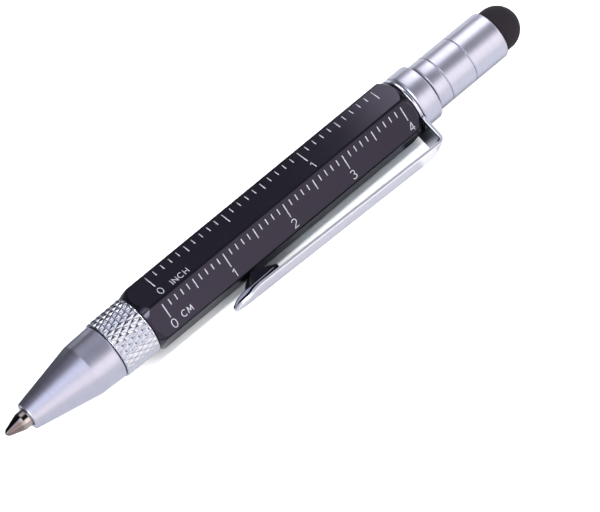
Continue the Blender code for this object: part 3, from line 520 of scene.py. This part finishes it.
def word(signs, middle_along, middle_across, height):
    """Lines of a word in a facet's plane, centred on a point and reading towards the cap."""
    lines, pen = [], 0.0
    for sign in signs:
        width, strokes = SIGNS[sign]
        lines += [np.asarray(stroke, float) + (pen, 0) for stroke in strokes]
        pen += width + SIGN_GAP
    shift = np.array([(pen - SIGN_GAP) / 2, 0.5])
    return [(line - shift) * height + (middle_along, middle_across) for line in lines]


def ticks(zero, pitch, count, top, ends):
    """Lines of a scale: each runs from the top down to the end of the longest division it is on."""
    lines = []
    for i in range(count):
        low = next(end for every, end in ends if i % every == 0)
        lines.append(np.array([(zero + i * pitch, top), (zero + i * pitch, low)]))
    return lines


def ribbon(line, width, angle):
    """A raised stroke on the facet that faces an angle.

    Each point of the line moves half a width to both sides, square to the line's direction, once
    just under the facet and once at the ink's height. The facet's own right, up and outward
    directions then place it.
    """
    way = np.gradient(line, axis=0)
    way /= np.linalg.norm(way, axis=1, keepdims=True)
    side = np.stack([-way[:, 1], way[:, 0]], axis=-1) * width / 2
    plan = np.stack([line + side, line + side, line - side, line - side], axis=1)
    height = HALF_FLATS + np.array([-INK_SINK, INK_RISE, INK_RISE, -INK_SINK])
    x = front_x + plan[..., 0]
    y = axis_y + height * np.cos(angle) + plan[..., 1] * np.sin(angle)
    z = axis_z + height * np.sin(angle) - plan[..., 1] * np.cos(angle)
    return skin(np.stack(np.broadcast_arrays(x, y, z), axis=-1), close_rows=False, caps=True)


white_ink, ink, ink_shader = new_material("white_ink", (0.62, 0.61, 0.64), 0, 0.55)
texture(ink, ink_shader, 9000, 9000, 0.000002, 0.1, (0.5, 0.48, 0.51), 0.5)

cm_lines = ticks(CM_ZERO, MILLIMETRE, 41, TICK_TOP_CM, DIVISIONS_CM)
cm_signs = word("CM", CM_ZERO + 0.0022, -0.00107, UNIT_HEIGHT)
for i in range(5):
    cm_signs += word(str(i), CM_ZERO + 10 * i * MILLIMETRE, -0.00127, NUMBER_HEIGHT_CM)
inch_lines = ticks(INCH_ZERO, TWENTIETH, 31, TICK_TOP_INCH, DIVISIONS_INCH)
inch_signs = word("INCH", INCH_ZERO + 0.003, -0.00146, UNIT_HEIGHT)
for i in range(2):
    inch_signs += word(str(i), INCH_ZERO + 20 * i * TWENTIETH, -0.00134, NUMBER_HEIGHT_INCH)
for name, lines, signs, angle in (
        ("cm_scale", cm_lines, cm_signs, CM_ANGLE), ("inch_scale", inch_lines, inch_signs, INCH_ANGLE)):
    strokes = [ribbon(line, TICK_WIDTH, angle) for line in lines]
    strokes += [ribbon(line, GLYPH_STROKE, angle) for line in signs]
    scale = new_piece(name, strokes, white_ink)
    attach(scale, "barrel")


# Knurled grip
# A turned aluminium ring with a fine diamond knurl: two crossing sets of V grooves leave rows of
# pointed pyramids. In front it has a threaded spigot for the nose, behind it the shank in the bush.
GRIP_FRONT = -0.00522
GRIP_REAR = -0.0001
GRIP_FRONT_RADIUS = 0.00402
GRIP_REAR_RADIUS = 0.00407
KNURL_RIM = 0.0001
KNURL_DIAMONDS = 31
KNURL_ROWS = 6.25
KNURL_FINE = 8
KNURL_DEPTH = 0.00019
THREAD_PITCH = 0.0006
THREAD_DEPTH = 0.00016
GRIP_BORE = 0.00148
CAM_SEAT_RADIUS = 0.00178
CAM_SEAT_REAR = 0.00994
SHANK_RADIUS = 0.00272
SHANK_REAR = 0.00694
SNAP_GROOVE_RADIUS = 0.00242
SEAL_GROOVE_RADIUS = 0.00198
NOSE_SPIGOT_RADIUS = 0.0025
NOSE_SPIGOT_END = -0.0093

satin_finishes = []
for name, colour, tone, dark in (
        ("satin_aluminium_turned", (0.575, 0.565, 0.65), (0.525, 0.515, 0.60), (0.42, 0.42, 0.53)),
        ("satin_aluminium_nose", (0.545, 0.53, 0.62), (0.50, 0.485, 0.575), (0.40, 0.395, 0.50))):
    satin, alu, alu_shader = new_material(name, colour, 1, 0.38)
    texture(alu, alu_shader, 14000, 90, 0.0000045, 0.05, tone, 0.5)
    streaks(alu, alu_shader, 4600, 160, dark, 0.22)
    satin_finishes.append(satin)
satin_aluminium, satin_nose = satin_finishes
knurl_aluminium, knurl_alu, knurl_shader = new_material(
    "satin_aluminium_knurled", (0.60, 0.60, 0.66), 1, 0.24)
texture(knurl_alu, knurl_shader, 6000, 6000, 0.000003, 0.06, (0.5, 0.5, 0.56), 0.5)


def rows_between(first, last, count):
    """Evenly spaced (radius, station) rows from one profile point to another."""
    return np.linspace(first, last, count)


def groove(outer, bottom, first, last):
    """Corners (radius, station) of a square groove in a profile, from its first wall to its last."""
    return [(outer, first), (bottom, first), (bottom, last), (outer, last)]


def knurl_depth(angle, station):
    """Depth below the pyramids' tips, 0 to 1.

    Two counters run along the two crossing sets of grooves, one whole number a groove. The depth is
    twice the distance of the further of them from a half, so pyramids stand where both are halves.
    """
    turn = angle / (2 * np.pi) * KNURL_DIAMONDS
    along = (station - GRIP_FRONT - KNURL_RIM) / (GRIP_REAR - GRIP_FRONT - 2 * KNURL_RIM) * KNURL_ROWS / 2
    counters = np.stack([turn + along, turn - along])
    away = 2 * np.abs(counters - np.floor(counters) - 0.5).max(axis=0)
    return np.clip((away - 0.1) / 0.9, 0, 1)


def thread_depth(angle, station):
    """Depth below a thread's crest, 0 to 1: a triangle wave that advances one pitch a turn."""
    phase = station / THREAD_PITCH - angle / (2 * np.pi)
    return np.abs(2 * (phase - np.floor(phase)) - 1)


def split_deep(faces, depth):
    """Triangles of four-sided faces, cut along the deeper diagonal so that groove bottoms stay straight."""
    along = (depth[faces[:, 0]] + depth[faces[:, 2]] > depth[faces[:, 1]] + depth[faces[:, 3]])[:, None]
    first = np.where(along, faces[:, [0, 1, 2]], faces[:, [0, 1, 3]])
    second = np.where(along, faces[:, [0, 2, 3]], faces[:, [1, 2, 3]])
    return np.concatenate([first, second])


grip_turn = np.linspace(0, 2 * np.pi, 2 * KNURL_DIAMONDS * KNURL_FINE, endpoint=False)
rear_part = eased([
    (GRIP_BORE, CAM_SEAT_REAR), (CAM_SEAT_RADIUS, CAM_SEAT_REAR), (CAM_SEAT_RADIUS, SHANK_REAR),
    (SHANK_RADIUS, SHANK_REAR), *groove(SHANK_RADIUS, SNAP_GROOVE_RADIUS, 0.00644, 0.0058),
    *groove(SHANK_RADIUS, SEAL_GROOVE_RADIUS, 0.00342, 0.00258), (SHANK_RADIUS, GRIP_REAR),
    (GRIP_REAR_RADIUS - KNURL_RIM, GRIP_REAR),
    (GRIP_REAR_RADIUS - 0.00002, GRIP_REAR - KNURL_RIM)], 0.00004, 2, closed=False)
knurl_part = rows_between(
    (GRIP_REAR_RADIUS, GRIP_REAR - KNURL_RIM), (GRIP_FRONT_RADIUS, GRIP_FRONT + KNURL_RIM),
    round(KNURL_ROWS * KNURL_FINE) + 1)
front_part = eased([
    (GRIP_FRONT_RADIUS - 0.00002, GRIP_FRONT + KNURL_RIM), (GRIP_FRONT_RADIUS - KNURL_RIM, GRIP_FRONT),
    (NOSE_SPIGOT_RADIUS, GRIP_FRONT), (NOSE_SPIGOT_RADIUS, GRIP_FRONT - 0.0004)], 0.00003, 2, closed=False)
thread_part = rows_between((NOSE_SPIGOT_RADIUS, GRIP_FRONT - 0.0005), (NOSE_SPIGOT_RADIUS, -0.0090), 46)
end_part = eased([
    (0.00236, -0.0091), (0.00225, NOSE_SPIGOT_END), (GRIP_BORE, NOSE_SPIGOT_END),
    (GRIP_BORE, -0.0088)], 0.00003, 2, closed=False)
grip_rows = np.concatenate([rear_part, knurl_part, front_part, thread_part, end_part])
grip_radius, grip_station = grip_rows[:, :1] + 0 * grip_turn, grip_rows[:, 1:] + 0 * grip_turn
knurl_from = len(rear_part)
thread_from = knurl_from + len(knurl_part) + len(front_part)
cut = np.zeros_like(grip_radius)
knurled = slice(knurl_from, knurl_from + len(knurl_part))
threaded = slice(thread_from, thread_from + len(thread_part))
cut[knurled] = KNURL_DEPTH * knurl_depth(grip_turn, grip_station[knurled])
cut[threaded] = THREAD_DEPTH * thread_depth(grip_turn, grip_station[threaded])
grip_points = around(grip_turn, grip_radius - cut, grip_station)
grip_faces = split_deep(grid_faces(*grip_radius.shape), cut.ravel())
grip = new_piece("knurled_grip", [(grip_points.reshape(-1, 3), grip_faces)], knurl_aluminium)
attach(grip, "grip")
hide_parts("knurled_grip_ring")


# Nose cone
# Turned from aluminium bar with a long cone, a crease and a shallow band behind it. Fine turning
# marks run round its satin finish, a little darker than the cap's. It screws onto the grip's spigot.
TURNED_STEPS = 128


def turned(corners, ease, steps=4, closed=True):
    """Skin of a turned piece: its eased (radius, station) profile carried once round the axis."""
    profile = eased(corners, ease, steps, closed)
    turn = np.linspace(0, 2 * np.pi, TURNED_STEPS, endpoint=False)
    return skin(around(turn, profile[:, :1], profile[:, 1:]), close_rows=closed)


NOSE_REAR = -0.0053
NOSE_CREASE = -0.0091
NOSE_MOUTH = -0.0181
NOSE_HOLE = 0.00132
NOSE_THREAD_RADIUS = 0.0026
NOSE_THREAD_FRONT = -0.00942
nose_corners = [
    (0.00368, NOSE_REAR), (0.0038, NOSE_REAR - 0.00016), (0.00366, NOSE_CREASE), (0.00187, NOSE_MOUTH),
    (NOSE_HOLE, NOSE_MOUTH), (NOSE_HOLE, NOSE_MOUTH + 0.002), (0.00205, NOSE_THREAD_FRONT),
    (NOSE_THREAD_RADIUS, NOSE_THREAD_FRONT), (NOSE_THREAD_RADIUS, NOSE_REAR)]
nose_ease = [0.00005, 0.00005, 0.00007, 0.00017, 0.0001, 0.0001, 0.0001, 0.00005, 0.00005]
nose = new_piece("turned_nose", [turned(nose_corners, nose_ease)], satin_nose)
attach(nose, "nose")
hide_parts("nose_cone")


# Refill
# A standard small metal refill: a drawn tube, a turned nickel silver point with a crimped rim, and
# the hard ball in it.
TIP_END = -0.02155
POINT_FACE = TIP_END + 0.00025
POINT_REAR = -0.01455
RIM_REAR = -0.01655
REFILL_RADIUS = 0.00118
POINT_SHANK_RADIUS = 0.00088
INK_HOLE = 0.0002
BALL_SEAT = 0.00039
BALL_RADIUS = 0.00035
TUBE_FRONT = -0.01643
TUBE_REAR = 0.03218
TUBE_BORE = 0.00098
DARKER_CONE_TONE = (0.22, 0.17, 0.16)

nickel_silver, nickel, nickel_shader = new_material("nickel_silver", (0.44, 0.38, 0.36), 1, 0.08)
texture(nickel, nickel_shader, 16000, 200, 0.0000012, 0.04, (0.36, 0.31, 0.29), 0.5)
# The point's cone is given a darker, browner tone than the rest of the point.
on_cone = fade(nickel, object_axes(nickel)["X"], front_x - 0.0190, front_x - 0.0197)
retint(nickel, nickel_shader, on_cone, DARKER_CONE_TONE)
point_corners = [
    (POINT_SHANK_RADIUS, POINT_REAR), (POINT_SHANK_RADIUS, RIM_REAR), (REFILL_RADIUS, RIM_REAR),
    (REFILL_RADIUS, -0.0191), (0.00052, -0.0211), (0.00045, POINT_FACE), (BALL_SEAT, POINT_FACE),
    (BALL_SEAT, -0.02081), (INK_HOLE, -0.02042), (INK_HOLE, POINT_REAR)]
point_ease = [0.00004, 0.00004, 0.00006, 0.00025, 0.00012, 0.00003, 0.00002, 0.00003, 0.00003, 0.00003]
point = new_piece("nickel_point", [turned(point_corners, point_ease)], nickel_silver)
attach(point, "refill")
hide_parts("refill_point")

drawn_brass, brass, brass_shader = new_material("drawn_brass", (0.66, 0.47, 0.20), 1, 0.27)
texture(brass, brass_shader, 300, 9000, 0.000003, 0.1, (0.5, 0.34, 0.14), 0.5)
tube = new_piece("refill_ink_tube", [turned([
    (REFILL_RADIUS, TUBE_REAR), (REFILL_RADIUS, TUBE_FRONT), (TUBE_BORE, TUBE_FRONT),
    (TUBE_BORE, TUBE_REAR)], 0.00004)], drawn_brass)
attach(tube, "refill")
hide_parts("refill_tube")

ground_carbide, carbide, carbide_shader = new_material("ground_carbide", (0.13, 0.11, 0.11), 1, 0.13)
texture(carbide, carbide_shader, 30000, 30000, 0.0000006, 0.04)
ball_turn = np.linspace(-np.pi / 2, np.pi / 2, 25)[:, None]
ball = new_piece("carbide_ball", [skin(around(
    np.linspace(0, 2 * np.pi, 48, endpoint=False), BALL_RADIUS * np.cos(ball_turn),
    TIP_END + BALL_RADIUS + BALL_RADIUS * np.sin(ball_turn)), close_rows=False)], ground_carbide)
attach(ball, "ball")
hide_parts("writing_ball")


# Pocket clip
# One strip of spring steel: a ring plate held between barrel and collar, a neck, a tight bend and a
# long arm that leans in to a round end, sprung out on its upper edge. Its edges are tumbled round, rougher
# and lighter than its faces: the lighter tone is a painted highlight.
SHEET = 0.00045
HALF_WIDTH = 0.00275
PLATE_RADIUS = 0.004
PLATE_HOLE = 0.0034
PLATE_REAR = 0.04497
BEND_RADIUS = 0.0009
ROOT_REACH = 0.00718
END_REACH = 0.00623
ARM_LENGTH = 0.0346
ARM_ROLL = 0.02
END_LIFT = 0.0004
LIFT_FROM = 0.0035
LIFT_TO = 0.0017
OUTER_EASE = 0.00013
INNER_EASE = 0.00008

clip_steel, steel, steel_shader = new_material("brushed_spring_steel", (0.60, 0.59, 0.68), 1, 0.24)
texture(steel, steel_shader, 700, 9000, 0.000001, 0.06, (0.54, 0.53, 0.615), 0.5)
# The tumbled rim is rougher than the faces and given a lighter tone; the lighter tone is a painted highlight.
highlit_clip_rim, rim, rim_shader = new_material("tumbled_steel_rim_with_painted_highlight", (0.80, 0.79, 0.85), 1, 0.4)
texture(rim, rim_shader, 1200, 1200, 0.0000006, 0.05, (0.74, 0.73, 0.79), 0.5)


def beside_pen(lateral, station, reach):
    """Points on the clip's side: out from the axis by a reach, and sideways by a lateral distance."""
    y = axis_y + reach * np.cos(CLIP_ANGLE) - lateral * np.sin(CLIP_ANGLE)
    z = axis_z + reach * np.sin(CLIP_ANGLE) + lateral * np.cos(CLIP_ANGLE)
    return np.stack(np.broadcast_arrays(front_x + station, y, z), axis=-1)


arm_angle = np.arctan2(ROOT_REACH - END_REACH, ARM_LENGTH - BEND_RADIUS)
arm_rise = np.tan(arm_angle)
bend_station = PLATE_REAR - BEND_RADIUS * (1 + np.sin(arm_angle))
arm_end = PLATE_REAR - ARM_LENGTH
arm_run = (bend_station - arm_end) / np.cos(arm_angle)
bend_run = BEND_RADIUS * (np.pi / 2 + arm_angle)
neck_reach = END_REACH + arm_run * np.sin(arm_angle) - BEND_RADIUS * np.cos(arm_angle)


def lift(run, lateral):
    """How far the arm's end is sprung out: a smooth step between two runs, most on the upper side."""
    share = np.clip((LIFT_FROM - run) / (LIFT_FROM - LIFT_TO), 0, 1)
    return END_LIFT * share ** 2 * (3 - 2 * share) * (HALF_WIDTH - lateral) / (2 * HALF_WIDTH)


def strip_path(run, depth):
    """Station and reach on the bent strip, from the run along its outer face and the depth into it.

    The outer face runs straight from the round end, then round the bend's circle until it points
    at the axis, then straight. A point in the sheet lies its depth off that line, square to it.
    """
    heading = np.maximum(arm_angle - np.maximum(run - arm_run, 0) / BEND_RADIUS, -np.pi / 2)
    straight = np.minimum(run, arm_run)
    past = np.maximum(run - arm_run - bend_run, 0)
    station = arm_end + straight * np.cos(arm_angle) + BEND_RADIUS * (np.sin(arm_angle) - np.sin(heading))
    reach = END_REACH + straight * np.sin(arm_angle)
    reach = reach + BEND_RADIUS * (np.cos(heading) - np.cos(arm_angle)) - past
    return station + depth * np.sin(heading), reach - depth * np.cos(heading)


# Columns run once round the sheet's section: outer face, one edge, inner face, other edge
roll = np.linspace(0, np.pi / 2, 5)
inset = 1 - np.sin(roll)
dip = 1 - np.cos(roll)
face_shares = np.linspace(-1, 1, 9)[1:-1]
edge_inset = np.concatenate([OUTER_EASE * inset, INNER_EASE * inset[::-1]])
edge_depth = np.concatenate([OUTER_EASE * dip, SHEET - INNER_EASE * dip[::-1]])
strip_share = np.concatenate([face_shares, np.ones(10), face_shares[::-1], -np.ones(10)])
strip_inset = np.concatenate([np.full(7, OUTER_EASE), edge_inset, np.full(7, INNER_EASE), edge_inset[::-1]])
strip_depth = np.concatenate([np.zeros(7), edge_depth, np.full(7, SHEET), edge_depth[::-1]])
on_rim = (np.abs(strip_share) == 1) & (np.roll(strip_share, -1) == strip_share)

# Rows run from the round end to the ring plate, whose rim the last row follows
end_turn = np.linspace(np.pi / 2, 0, 17)[:, None]
end_lateral = strip_share * (HALF_WIDTH - strip_inset) * np.cos(end_turn)
end_run = HALF_WIDTH * (1 - np.sin(end_turn)) + strip_inset * np.sin(end_turn)
side_lateral = strip_share * (HALF_WIDTH - strip_inset)
arm_rows = np.linspace(HALF_WIDTH, arm_run, 30)[1:, None] + 0 * side_lateral
bend_rows = np.linspace(arm_run, arm_run + bend_run, 13)[1:, None] + 0 * side_lateral
rim_run = arm_run + bend_run + neck_reach - np.sqrt(PLATE_RADIUS ** 2 - side_lateral ** 2) + INNER_EASE
neck_rows = arm_run + bend_run + np.linspace(0, 1, 7)[1:, None] * (rim_run - arm_run - bend_run)
strip_run = np.concatenate([end_run, arm_rows, bend_rows, neck_rows])
strip_lateral = np.concatenate([end_lateral, side_lateral + 0 * strip_run[len(end_run):]])
clip_station, clip_reach = strip_path(strip_run, strip_depth)
roll_slope = np.interp(strip_run, [arm_run, arm_run + bend_run + 0.002], [ARM_ROLL, 0])
clip_reach = clip_reach + roll_slope * (strip_lateral + HALF_WIDTH) + lift(strip_run, strip_lateral)
strip_points, strip_faces = skin(
    beside_pen(strip_lateral, clip_station, clip_reach), close_rows=False, caps=True)
strip_materials = np.append(np.tile(on_rim, len(strip_run) - 1), [False, False]).astype(np.int32)
plate_skin = turned([
    (PLATE_RADIUS, PLATE_REAR), (PLATE_RADIUS, PLATE_REAR - SHEET), (PLATE_HOLE, PLATE_REAR - SHEET),
    (PLATE_HOLE, PLATE_REAR)], OUTER_EASE)
clip = new_piece(
    "sprung_clip", [(strip_points, strip_faces, strip_materials), plate_skin], clip_steel, highlit_clip_rim)
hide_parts("pocket_clip")
beside_pen(0, PLATE_REAR, 0.0043)
beside_pen(0, PLATE_REAR - 0.003, 0.0071)
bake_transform(clip)


# Clip foot
# A pressed foot of the same steel inside the arm: a thin lip with a round front, which runs back as a
# rib, and a block with a steep front, whose short flat bears on the facet. The block and most of the lip
# are coloured a dull black, and the lip's rim on one side a dull dark lavender: painted shade on the steel.
FOOT_CENTRE = 0.01312
LIP_HALF = 0.0027
BLOCK_HALF = 0.0023
FOOT_GAP = 0.00012
FOOT_EASE = 0.00005
LIP_UNDER_EASE = 0.00011

# Lip from its front: station, and the reach of its inner and of its outer face
LIP_ROWS = [
    (0.01042, 0.006, 0.00618), (0.0105, 0.00588, 0.00618), (0.0106, 0.00577, 0.00616),
    (0.01077, 0.00566, 0.00604), (0.011, 0.00559, 0.00597), (0.0115, 0.00554, 0.00598),
    (0.0119, 0.00552, 0.00601), (0.0124, 0.0055, 0.00595), (0.0132, 0.00557, 0.00574),
    (0.0169, 0.00553, 0.00566)]

# Block from its front: station and reach of its inner face
BLOCK_LINE = [
    (0.01286, 0.0055), (0.01433, HALF_FLATS + FOOT_GAP), (0.01496, HALF_FLATS + FOOT_GAP), (0.01762, 0.00546)]

# Painted shade: the foot's steel is coloured a dull near black that mirrors little.
painted_shade_black, black, black_shader = new_material("foot_black_painted_shade", (0.006, 0.005, 0.009), 0, 0.45)
black_shader.inputs["Specular IOR Level"].default_value = 0.08
texture(black, black_shader, 2500, 2500, 0.0000006, 0.08, (0.010, 0.009, 0.014), 0.5)
# Painted shade: a matt dark lavender, not metal, stands in for the lip's shaded steel rim.
painted_shade_lip, shaded_lip_nodes, shaded_lip_shader = new_material("lip_painted_shade", (0.24, 0.23, 0.31), 0, 0.6)
shaded_lip_shader.inputs["Specular IOR Level"].default_value = 0.2
texture(shaded_lip_nodes, shaded_lip_shader, 5000, 5000, 0.000001, 0.08, (0.13, 0.12, 0.18), 0.6)


def slab(stations, low, high, half, ease):
    """Skin of a bar along the pen: at each station a rectangle with eased corners between two reaches."""
    corners = np.stack([
        np.stack(pair, axis=-1) for pair in ((high, -half), (high, half), (low, half), (low, -half))])
    section = eased(corners, ease, 3).transpose(1, 0, 2)
    return skin(beside_pen(section[..., 1], stations[:, None], section[..., 0]), close_rows=False, caps=True)


lip_turn = np.linspace(0.1, np.pi / 2, 24)
lip_stations = np.concatenate([
    FOOT_CENTRE - LIP_HALF * np.cos(lip_turn), np.linspace(FOOT_CENTRE, LIP_ROWS[-1][0], 12)[1:]])
lip_half = LIP_HALF * np.append(np.sin(lip_turn), np.ones(11))
lip_at, lip_low, lip_high = np.array(LIP_ROWS).T
lip_skin = slab(
    lip_stations, np.interp(lip_stations, lip_at, lip_low), np.interp(lip_stations, lip_at, lip_high),
    lip_half, [FOOT_EASE, FOOT_EASE, LIP_UNDER_EASE, LIP_UNDER_EASE])
block_at, block_low = eased(BLOCK_LINE, 0.00015, 4, closed=False).T
block_top = END_REACH + (block_at - arm_end) * arm_rise - SHEET - 0.00001
block_skin = slab(block_at, block_low, block_top, np.full(len(block_at), BLOCK_HALF), FOOT_EASE)
# The lip's rim faces on one side take the painted-shade lavender; the rest of the foot takes the
# painted-shade black.
lip_edge = np.isin(np.arange(16), (15, 0, 1, 2)).astype(np.int32)
lip_materials = np.append(np.tile(lip_edge, len(lip_stations) - 1), [0, 0]).astype(np.int32)
foot = new_piece("clip_foot", [block_skin, (*lip_skin, lip_materials)], painted_shade_black, painted_shade_lip)
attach(foot, "clip")
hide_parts("clip_pad")


# Collar
# A short turned aluminium ring that clamps the clip's plate. Its front corner is rounded full.
COLLAR_FRONT = 0.04509
COLLAR_REAR = 0.04789
COLLAR_RADIUS = 0.004
COLLAR_BORE = 0.0033
collar = new_piece("turned_collar", [turned([
    (COLLAR_RADIUS, COLLAR_REAR), (COLLAR_RADIUS, COLLAR_FRONT), (COLLAR_BORE, COLLAR_FRONT),
    (COLLAR_BORE, COLLAR_REAR)], [0.00024, 0.00045, 0.0001, 0.0001], 6)], satin_aluminium)
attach(collar, "barrel")
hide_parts("rear_collar")


# Tail bush and cap seal
# A turned steel bush pressed into the barrel's rear end. Its threaded spigot takes the cap, a rubber
# ring in its groove holds the cap still, and its hexagonal socket holds the screwdriver bit.
TAIL_FRONT = 0.0374
TAIL_REAR = 0.05189
TAIL_RADIUS = 0.0032
GUIDE_SEAT_RADIUS = 0.00273
GUIDE_SEAT_END = 0.03952
UNDERCUT_RADIUS = 0.00244
CAP_SPIGOT_RADIUS = 0.0026
SEAL_STATION = 0.05069
SEAL_RADIUS = 0.00228
SEAL_SECTION = 0.0002
SOCKET_FLATS = 0.0015
SOCKET_END = 0.04567

turned_steel, tool, tool_shader = new_material("turned_tool_steel", (0.36, 0.36, 0.38), 1, 0.31)
texture(tool, tool_shader, 12000, 120, 0.000004, 0.08, (0.28, 0.28, 0.3), 0.6)
tail_turn = np.linspace(0, 2 * np.pi, 144, endpoint=False)
socket_radius = SOCKET_FLATS / np.cos((tail_turn - CLIP_ANGLE) % FACET_TURN - FACET_TURN / 2)
sleeve_part = eased([
    (0.0, GUIDE_SEAT_END), (GUIDE_SEAT_RADIUS, GUIDE_SEAT_END), (GUIDE_SEAT_RADIUS, TAIL_FRONT),
    (TAIL_RADIUS, TAIL_FRONT), (TAIL_RADIUS, COLLAR_REAR), (UNDERCUT_RADIUS, COLLAR_REAR),
    (UNDERCUT_RADIUS, 0.0481)], 0.00005, 2, closed=False)
screw_part = rows_between((CAP_SPIGOT_RADIUS, 0.04815), (CAP_SPIGOT_RADIUS, 0.05029), 32)
seal_part = eased([
    (CAP_SPIGOT_RADIUS, 0.0503), *groove(CAP_SPIGOT_RADIUS, 0.00206, 0.05037, 0.05101),
    (CAP_SPIGOT_RADIUS, TAIL_REAR), (0.0019, TAIL_REAR)], 0.00008, 3, closed=False)
tail_rows = np.concatenate([sleeve_part, screw_part, seal_part])
tail_radius, tail_station = tail_rows[:, :1] + 0 * tail_turn, tail_rows[:, 1:] + 0 * tail_turn
screwed = slice(len(sleeve_part), len(sleeve_part) + len(screw_part))
tail_radius[screwed] -= THREAD_DEPTH * thread_depth(tail_turn, tail_station[screwed])
socket_rows = np.stack([socket_radius, socket_radius, 0 * socket_radius])
socket_stations = np.array([TAIL_REAR, SOCKET_END, SOCKET_END])[:, None] + 0 * tail_turn
tail = new_piece("threaded_tail_bush", [skin(around(
    tail_turn, np.concatenate([tail_radius, socket_rows]),
    np.concatenate([tail_station, socket_stations])), close_rows=False)], turned_steel)
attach(tail, "barrel")
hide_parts("tail_bush")

black_rubber, rubber, rubber_shader = new_material("black_rubber_soft", (0.012, 0.008, 0.012), 0, 0.7)
rubber_shader.inputs["Specular IOR Level"].default_value = 0.25
texture(rubber, rubber_shader, 9000, 9000, 0.000006, 0.12, (0.02, 0.014, 0.02), 0.6)
seal_bend = np.linspace(0, 2 * np.pi, 16, endpoint=False)[:, None]
seal = new_piece("cap_seal", [skin(around(
    tail_turn, SEAL_RADIUS + SEAL_SECTION * np.cos(seal_bend),
    SEAL_STATION + SEAL_SECTION * np.sin(seal_bend)))], black_rubber)
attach(seal, "barrel")
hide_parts("cap_o_ring")


# Stylus cap
# Turned from the same aluminium bar, with two fine decorative grooves. It screws over the bit, and
# the stylus's plug closes its rear end.
CAP_FRONT = 0.04819
CAP_REAR = 0.06009
CAP_RADIUS = 0.00342
GROOVES = (0.00635, 0.0022)
GROOVE_HALF = 0.0001
GROOVE_DEPTH = 0.00017
CAP_THREAD_RADIUS = 0.0027
CAP_THREAD_END = 0.05201
CAP_BORE = 0.00192
PLUG_SEAT_RADIUS = 0.0026
PLUG_SEAT_FRONT = 0.05847

cap_corners = [(CAP_RADIUS, CAP_REAR)]
for from_front in GROOVES:
    station = CAP_FRONT + from_front
    cap_corners += [
        (CAP_RADIUS, station + GROOVE_HALF), (CAP_RADIUS - GROOVE_DEPTH, station),
        (CAP_RADIUS, station - GROOVE_HALF)]
cap_corners += [
    (CAP_RADIUS, CAP_FRONT), (CAP_THREAD_RADIUS, CAP_FRONT), (CAP_THREAD_RADIUS, CAP_THREAD_END),
    (CAP_BORE, CAP_THREAD_END), (CAP_BORE, PLUG_SEAT_FRONT), (PLUG_SEAT_RADIUS, PLUG_SEAT_FRONT),
    (PLUG_SEAT_RADIUS, CAP_REAR)]
cap_ease = [0.00022] + [0.00003, 0.00002, 0.00003] * 2 + [0.0003, 0.00008] + [0.00005] * 4 + [0.00008]
cap = new_piece("grooved_cap", [turned(cap_corners, cap_ease)], satin_aluminium)
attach(cap, "cap")
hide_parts("stylus_cap")


# Stylus dome
# Soft conductive rubber, moulded as a hollow dome and drawn over the plug's head, with a dull skin.
DOME_RADIUS = 0.00303
DOME_FRONT = 0.06021
DOME_STRAIGHT = 0.0011
DOME_MOUTH = 0.0015
DOME_HOLLOW = 0.0022
HOLLOW_FRONT = 0.06087
HOLLOW_REAR = 0.06201
dome_bow = bow((0, DOME_FRONT + DOME_STRAIGHT), (DOME_RADIUS, DOME_RADIUS), 90, 0, 25)
dome_profile = np.concatenate([dome_bow, eased([
    (DOME_RADIUS, DOME_FRONT + 0.0005), (DOME_RADIUS - 0.00006, DOME_FRONT), (DOME_MOUTH, DOME_FRONT),
    (DOME_MOUTH, HOLLOW_FRONT), (DOME_HOLLOW, HOLLOW_FRONT), (DOME_HOLLOW, HOLLOW_REAR),
    (0.0, HOLLOW_REAR)], 0.00012, 4, closed=False)])
dome_turn = np.linspace(0, 2 * np.pi, TURNED_STEPS, endpoint=False)
dome = new_piece("rubber_dome", [skin(around(
    dome_turn, dome_profile[:, :1], dome_profile[:, 1:]), close_rows=False)], black_rubber)
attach(dome, "cap")
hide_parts("stylus_dome")


# Inner pieces
# The bit and the pieces of the twist mechanism keep their own shapes. Each gets the finish of its
# stock: ground tool steel, drawn brass, moulded nylon, soft rubber.
white_nylon, nylon, nylon_shader = new_material("moulded_white_nylon", (0.74, 0.73, 0.69), 0, 0.46)
texture(nylon, nylon_shader, 3500, 3500, 0.000003, 0.08, (0.66, 0.65, 0.6), 0.5)
nylon_shader.inputs["Subsurface Weight"].default_value = 0.1
nylon_shader.inputs["Subsurface Scale"].default_value = 0.0005
for material, names in (
        (turned_steel, ("screwdriver_bit", "guide_sleeve", "snap_ring", "drive_pin")),
        (drawn_brass, ("front_bush", "cam_tube")),
        (satin_aluminium, ("stylus_plug",)),
        (black_rubber, ("grip_o_ring",)),
        (white_nylon, ("refill_carrier",))):
    for name in names:
        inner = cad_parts[name]
        inner.data.materials.clear()
        inner.data.materials.append(material)
